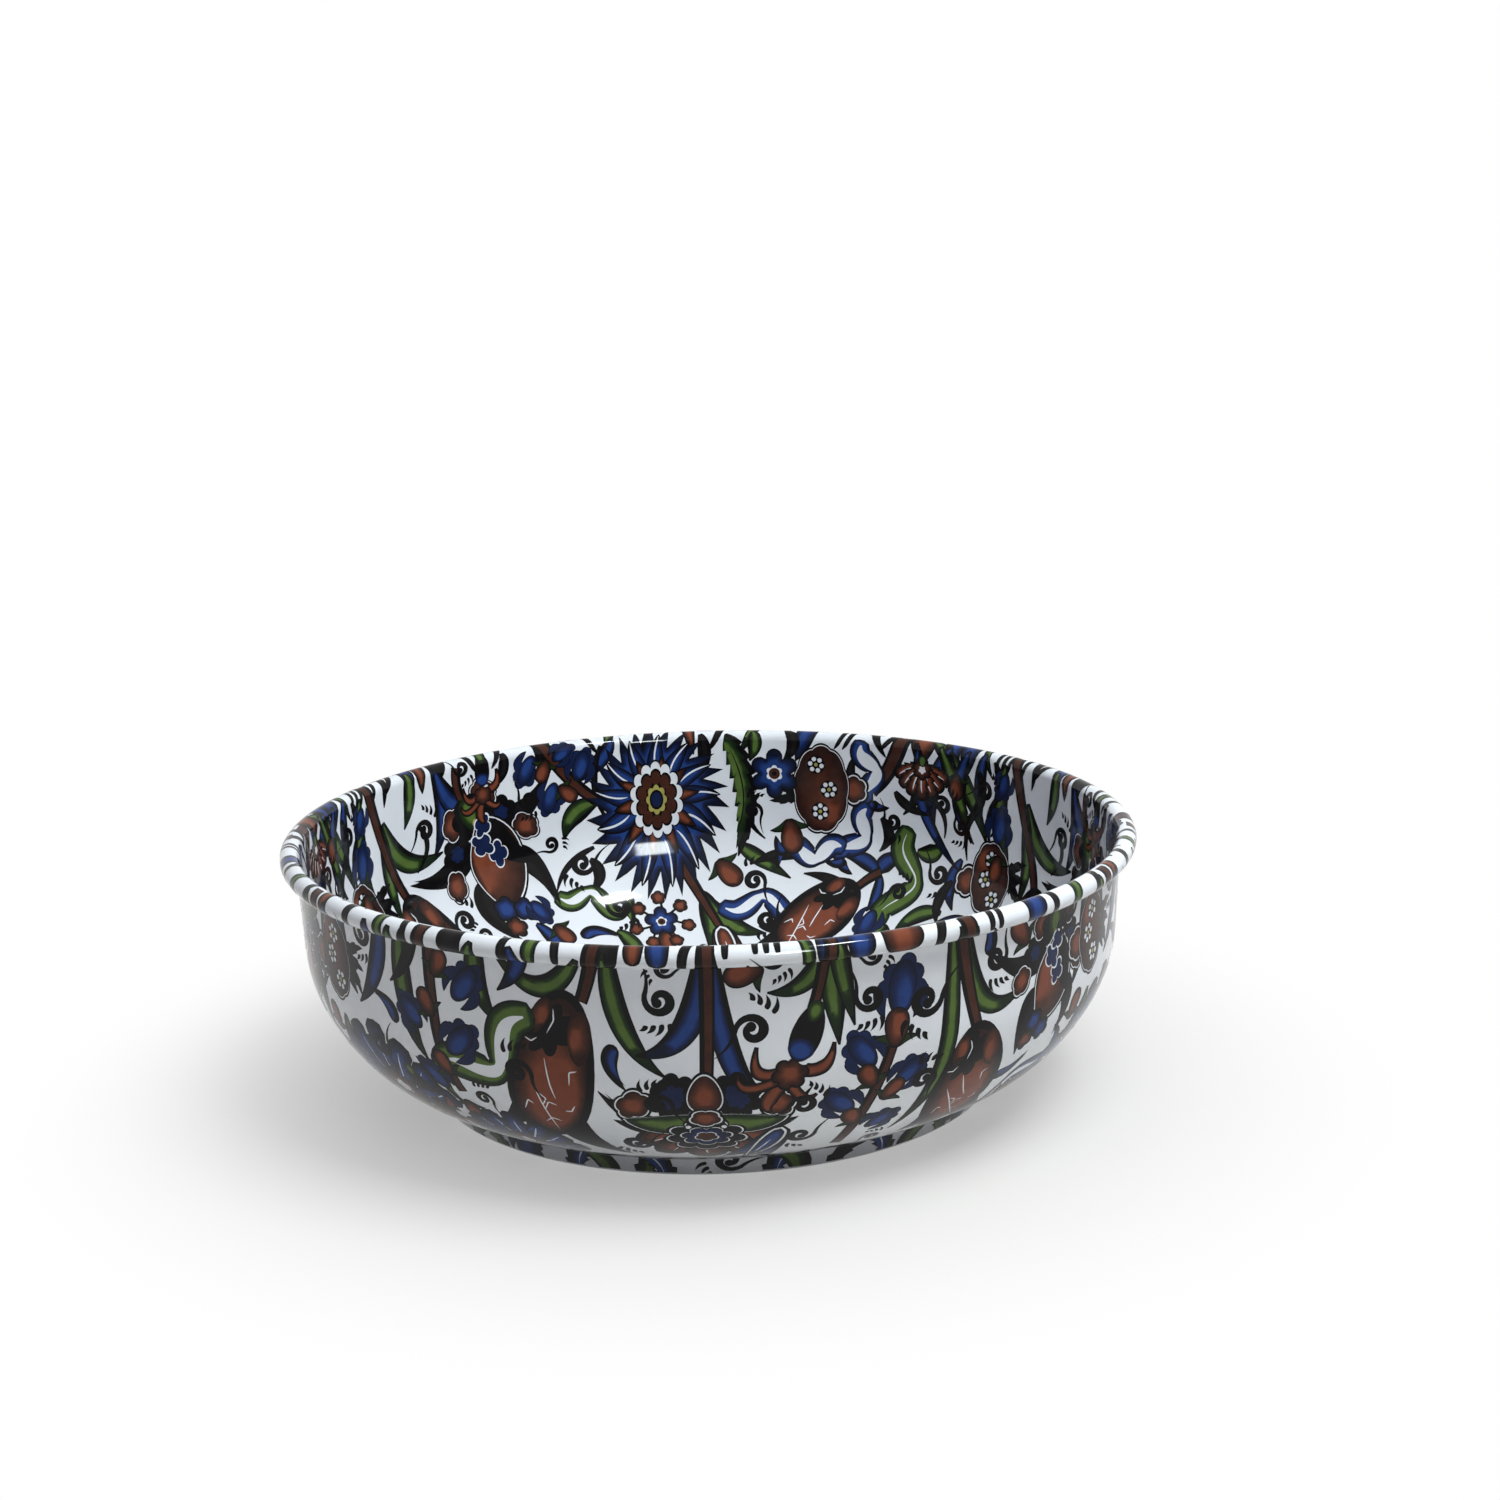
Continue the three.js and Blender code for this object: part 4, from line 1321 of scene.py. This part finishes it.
def backdrop_rays(tree):
    """1 for the rays that show the white background: camera, glossy and transmission rays."""
    seen = tree.nodes.new("ShaderNodeLightPath")
    total = seen.outputs["Is Camera Ray"]
    for ray in ("Is Glossy Ray", "Is Transmission Ray"):
        either = tree.nodes.new("ShaderNodeMath")
        either.operation = "MAXIMUM"
        tree.links.new(total, either.inputs[0])
        tree.links.new(seen.outputs[ray], either.inputs[1])
        total = either.outputs["Value"]
    return total


def pale_floor():
    """Matt floor that keeps the bowl's shadow and fades to the white background away from it."""
    bpy.ops.object.select_all(action="DESELECT")
    bpy.ops.mesh.primitive_plane_add(size=FLOOR_SIZE, location=(0, 0, 0))
    floor = bpy.context.object
    floor.name = floor.data.name = "pale_floor"
    material = bpy.data.materials.new("pale_floor")
    material.use_nodes = True
    tree = material.node_tree
    tree.nodes.remove(tree.nodes["Principled BSDF"])
    kinds = ("BsdfDiffuse", "Emission", "MixShader", "Math", "TexCoord", "VectorMath", "MapRange")
    matt, glow, mix, share, place, away, fade = (tree.nodes.new("ShaderNode" + kind) for kind in kinds)
    share.operation = "MULTIPLY"
    away.operation = "LENGTH"
    fade.interpolation_type = "SMOOTHSTEP"
    set_inputs(matt, {"Color": (*FLOOR_COLOUR, 1)})
    set_inputs(fade, {"From Min": SHADOW_START, "From Max": SHADOW_END, "To Min": FLOOR_GLOW, "To Max": 1.0})
    tree.links.new(backdrop_rays(tree), share.inputs[0])
    wire(tree, (place, "Object", away, 0), (away, "Value", fade, "Value"), (fade, "Result", share, 1),
         (share, "Value", mix, "Fac"), (matt, "BSDF", mix, 1), (glow, "Emission", mix, 2),
         (mix, "Shader", tree.nodes["Material Output"], "Surface"))
    floor.data.materials.append(material)


def place_in_scene(item, axes, place):
    """Lamp or camera put into the scene with its three axes and its place."""
    bpy.context.scene.collection.objects.link(item)
    item.matrix_world = Matrix(np.vstack((np.column_stack((*axes, place)), (0, 0, 0, 1))).tolist())


def soft_light():
    """Even room light, a white background, a soft panel, and two lamps that only reflections show."""
    world = bpy.data.worlds.new("studio")
    bpy.context.scene.world = world
    world.use_nodes = True
    tree = world.node_tree
    room = tree.nodes["Background"]
    tint, level = (tree.nodes.new("ShaderNodeMix") for _ in range(2))
    tint.data_type = "RGBA"
    set_inputs(tint, {6: (*ROOM_COLOUR, 1), 7: (1, 1, 1, 1)})
    set_inputs(level, {2: ROOM_LIGHT, 3: 1.0})
    white = backdrop_rays(tree)
    tree.links.new(white, tint.inputs[0])
    tree.links.new(white, level.inputs[0])
    wire(tree, (tint, 2, room, "Color"), (level, 0, room, "Strength"))
    for name, toward, away, wide, high, power, mirrored in LAMPS:
        lamp = bpy.data.lights.new(name, "AREA")
        lamp.shape = "RECTANGLE"
        lamp.size, lamp.size_y, lamp.energy, lamp.color = wide, high, power, LAMP_COLOUR
        light = bpy.data.objects.new(name, lamp)
        light.visible_glossy, light.visible_diffuse = mirrored, not mirrored
        back = unit(np.array(toward))
        right = unit(np.cross((0, 0, 1), back))
        place_in_scene(light, (right, np.cross(back, right), back), back * away + LAMP_AIM)


# Camera at the photograph's viewing angle, with the small turns of the hand that held it
LENS, SENSOR_WIDTH = 62.4, 36
CAMERA_AIM = np.array((0, 0, 0.045))
CAMERA_DISTANCE = 0.80809
CAMERA_RISE = math.radians(17.12)
YAW, PITCH, ROLL = (math.radians(a) for a in (-0.96, -3.99, -1.61))


def photo_camera():
    forward = np.array((0, math.cos(CAMERA_RISE), -math.sin(CAMERA_RISE)))
    right = np.array((1.0, 0, 0))
    base = np.stack((right, np.cross(forward, right), forward))
    cx, sx, cy, sy, cz, sz = (f(a) for a in (PITCH, YAW, ROLL) for f in (math.cos, math.sin))
    turn_x = np.array(((1, 0, 0), (0, cx, -sx), (0, sx, cx)))
    turn_y = np.array(((cy, 0, sy), (0, 1, 0), (-sy, 0, cy)))
    turn_z = np.array(((cz, -sz, 0), (sz, cz, 0), (0, 0, 1)))
    across, down, ahead = turn_z @ turn_x @ turn_y @ base
    data = bpy.data.cameras.new("photo_camera")
    data.lens, data.sensor_width = LENS, SENSOR_WIDTH
    camera = bpy.data.objects.new("photo_camera", data)
    place_in_scene(camera, (across, -down, -ahead), CAMERA_AIM - CAMERA_DISTANCE * forward)
    bpy.context.scene.camera = camera


# The bowl


def make_coats(glaze):
    white, plain = white_enamel(glaze, "white_enamel"), white_enamel(glaze, "plain_white_enamel")
    ring_edge = FOOT_RADIUS - FOOT_FILLET - 0.01
    bead = BEAD_STEPS_OUT + GLAZE_STEPS
    foot = max(np.nonzero(OUTSIDE[:, 0] > ring_edge)[0])
    rim = np.vstack((INSIDE[BEAD_STEPS_IN:0:-1], OUTSIDE[:bead + 1]))
    base = wall_face(0.0)
    base = base[:min(np.nonzero(base[:, 0] > ring_edge)[0]) + 1]
    coats = (("steel_core", steel_section(), bare_steel(glaze), "steel_shell", "sheet_steel"),
             ("inner_coat", coat_section(INSIDE[BEAD_STEPS_IN:], -1), white, "inner_enamel", "printed_enamel"),
             ("rim_coat", coat_section(rim, 1), white, "rim_enamel", "printed_enamel"),
             ("outer_coat", coat_section(OUTSIDE[bead:foot + 1], 1), white, "outer_enamel", "printed_enamel"),
             ("base_coat", coat_section(base[::-1], 1), plain, "base_enamel", "plain_enamel"))
    for name, section, material, node, slot in coats:
        piece = turned_coat(name, section)
        piece.data.materials.append(material)
        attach(piece, "root")
        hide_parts(node)


def make_print(glaze):
    outside = WallPrint(OUTSIDE, OUTSIDE_START, PRINT_FOOT_END, 1)
    inside = WallPrint(INSIDE, INSIDE_START, FLOOR_EDGE, -1)
    floor = FloorPrint(INSIDE)
    for rim_leaf in RIM_LEAVES:
        over_rim(inside, outside, *rim_leaf)
    draw_outside(outside)
    draw_inside(inside)
    floor.carry_on(inside)
    draw_floor(floor)
    cuts = [(side, cut_print(side), turns) for side, turns in ((outside, REPEATS), (inside, REPEATS), (floor, 1))]
    for pigment in PIGMENTS:
        material = print_pigment(glaze, pigment)
        for name, parts in (("outside_print_", cuts[:1]), ("inside_print_", cuts[1:])):
            piece = print_sheet(name + pigment, parts, pigment)
            piece.data.materials.append(material)
            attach(piece, "root")


photo_camera()
soft_light()
pale_floor()
glaze = glaze_group()
make_coats(glaze)
make_print(glaze)

scene = bpy.context.scene
scene.view_settings.view_transform = "Standard"
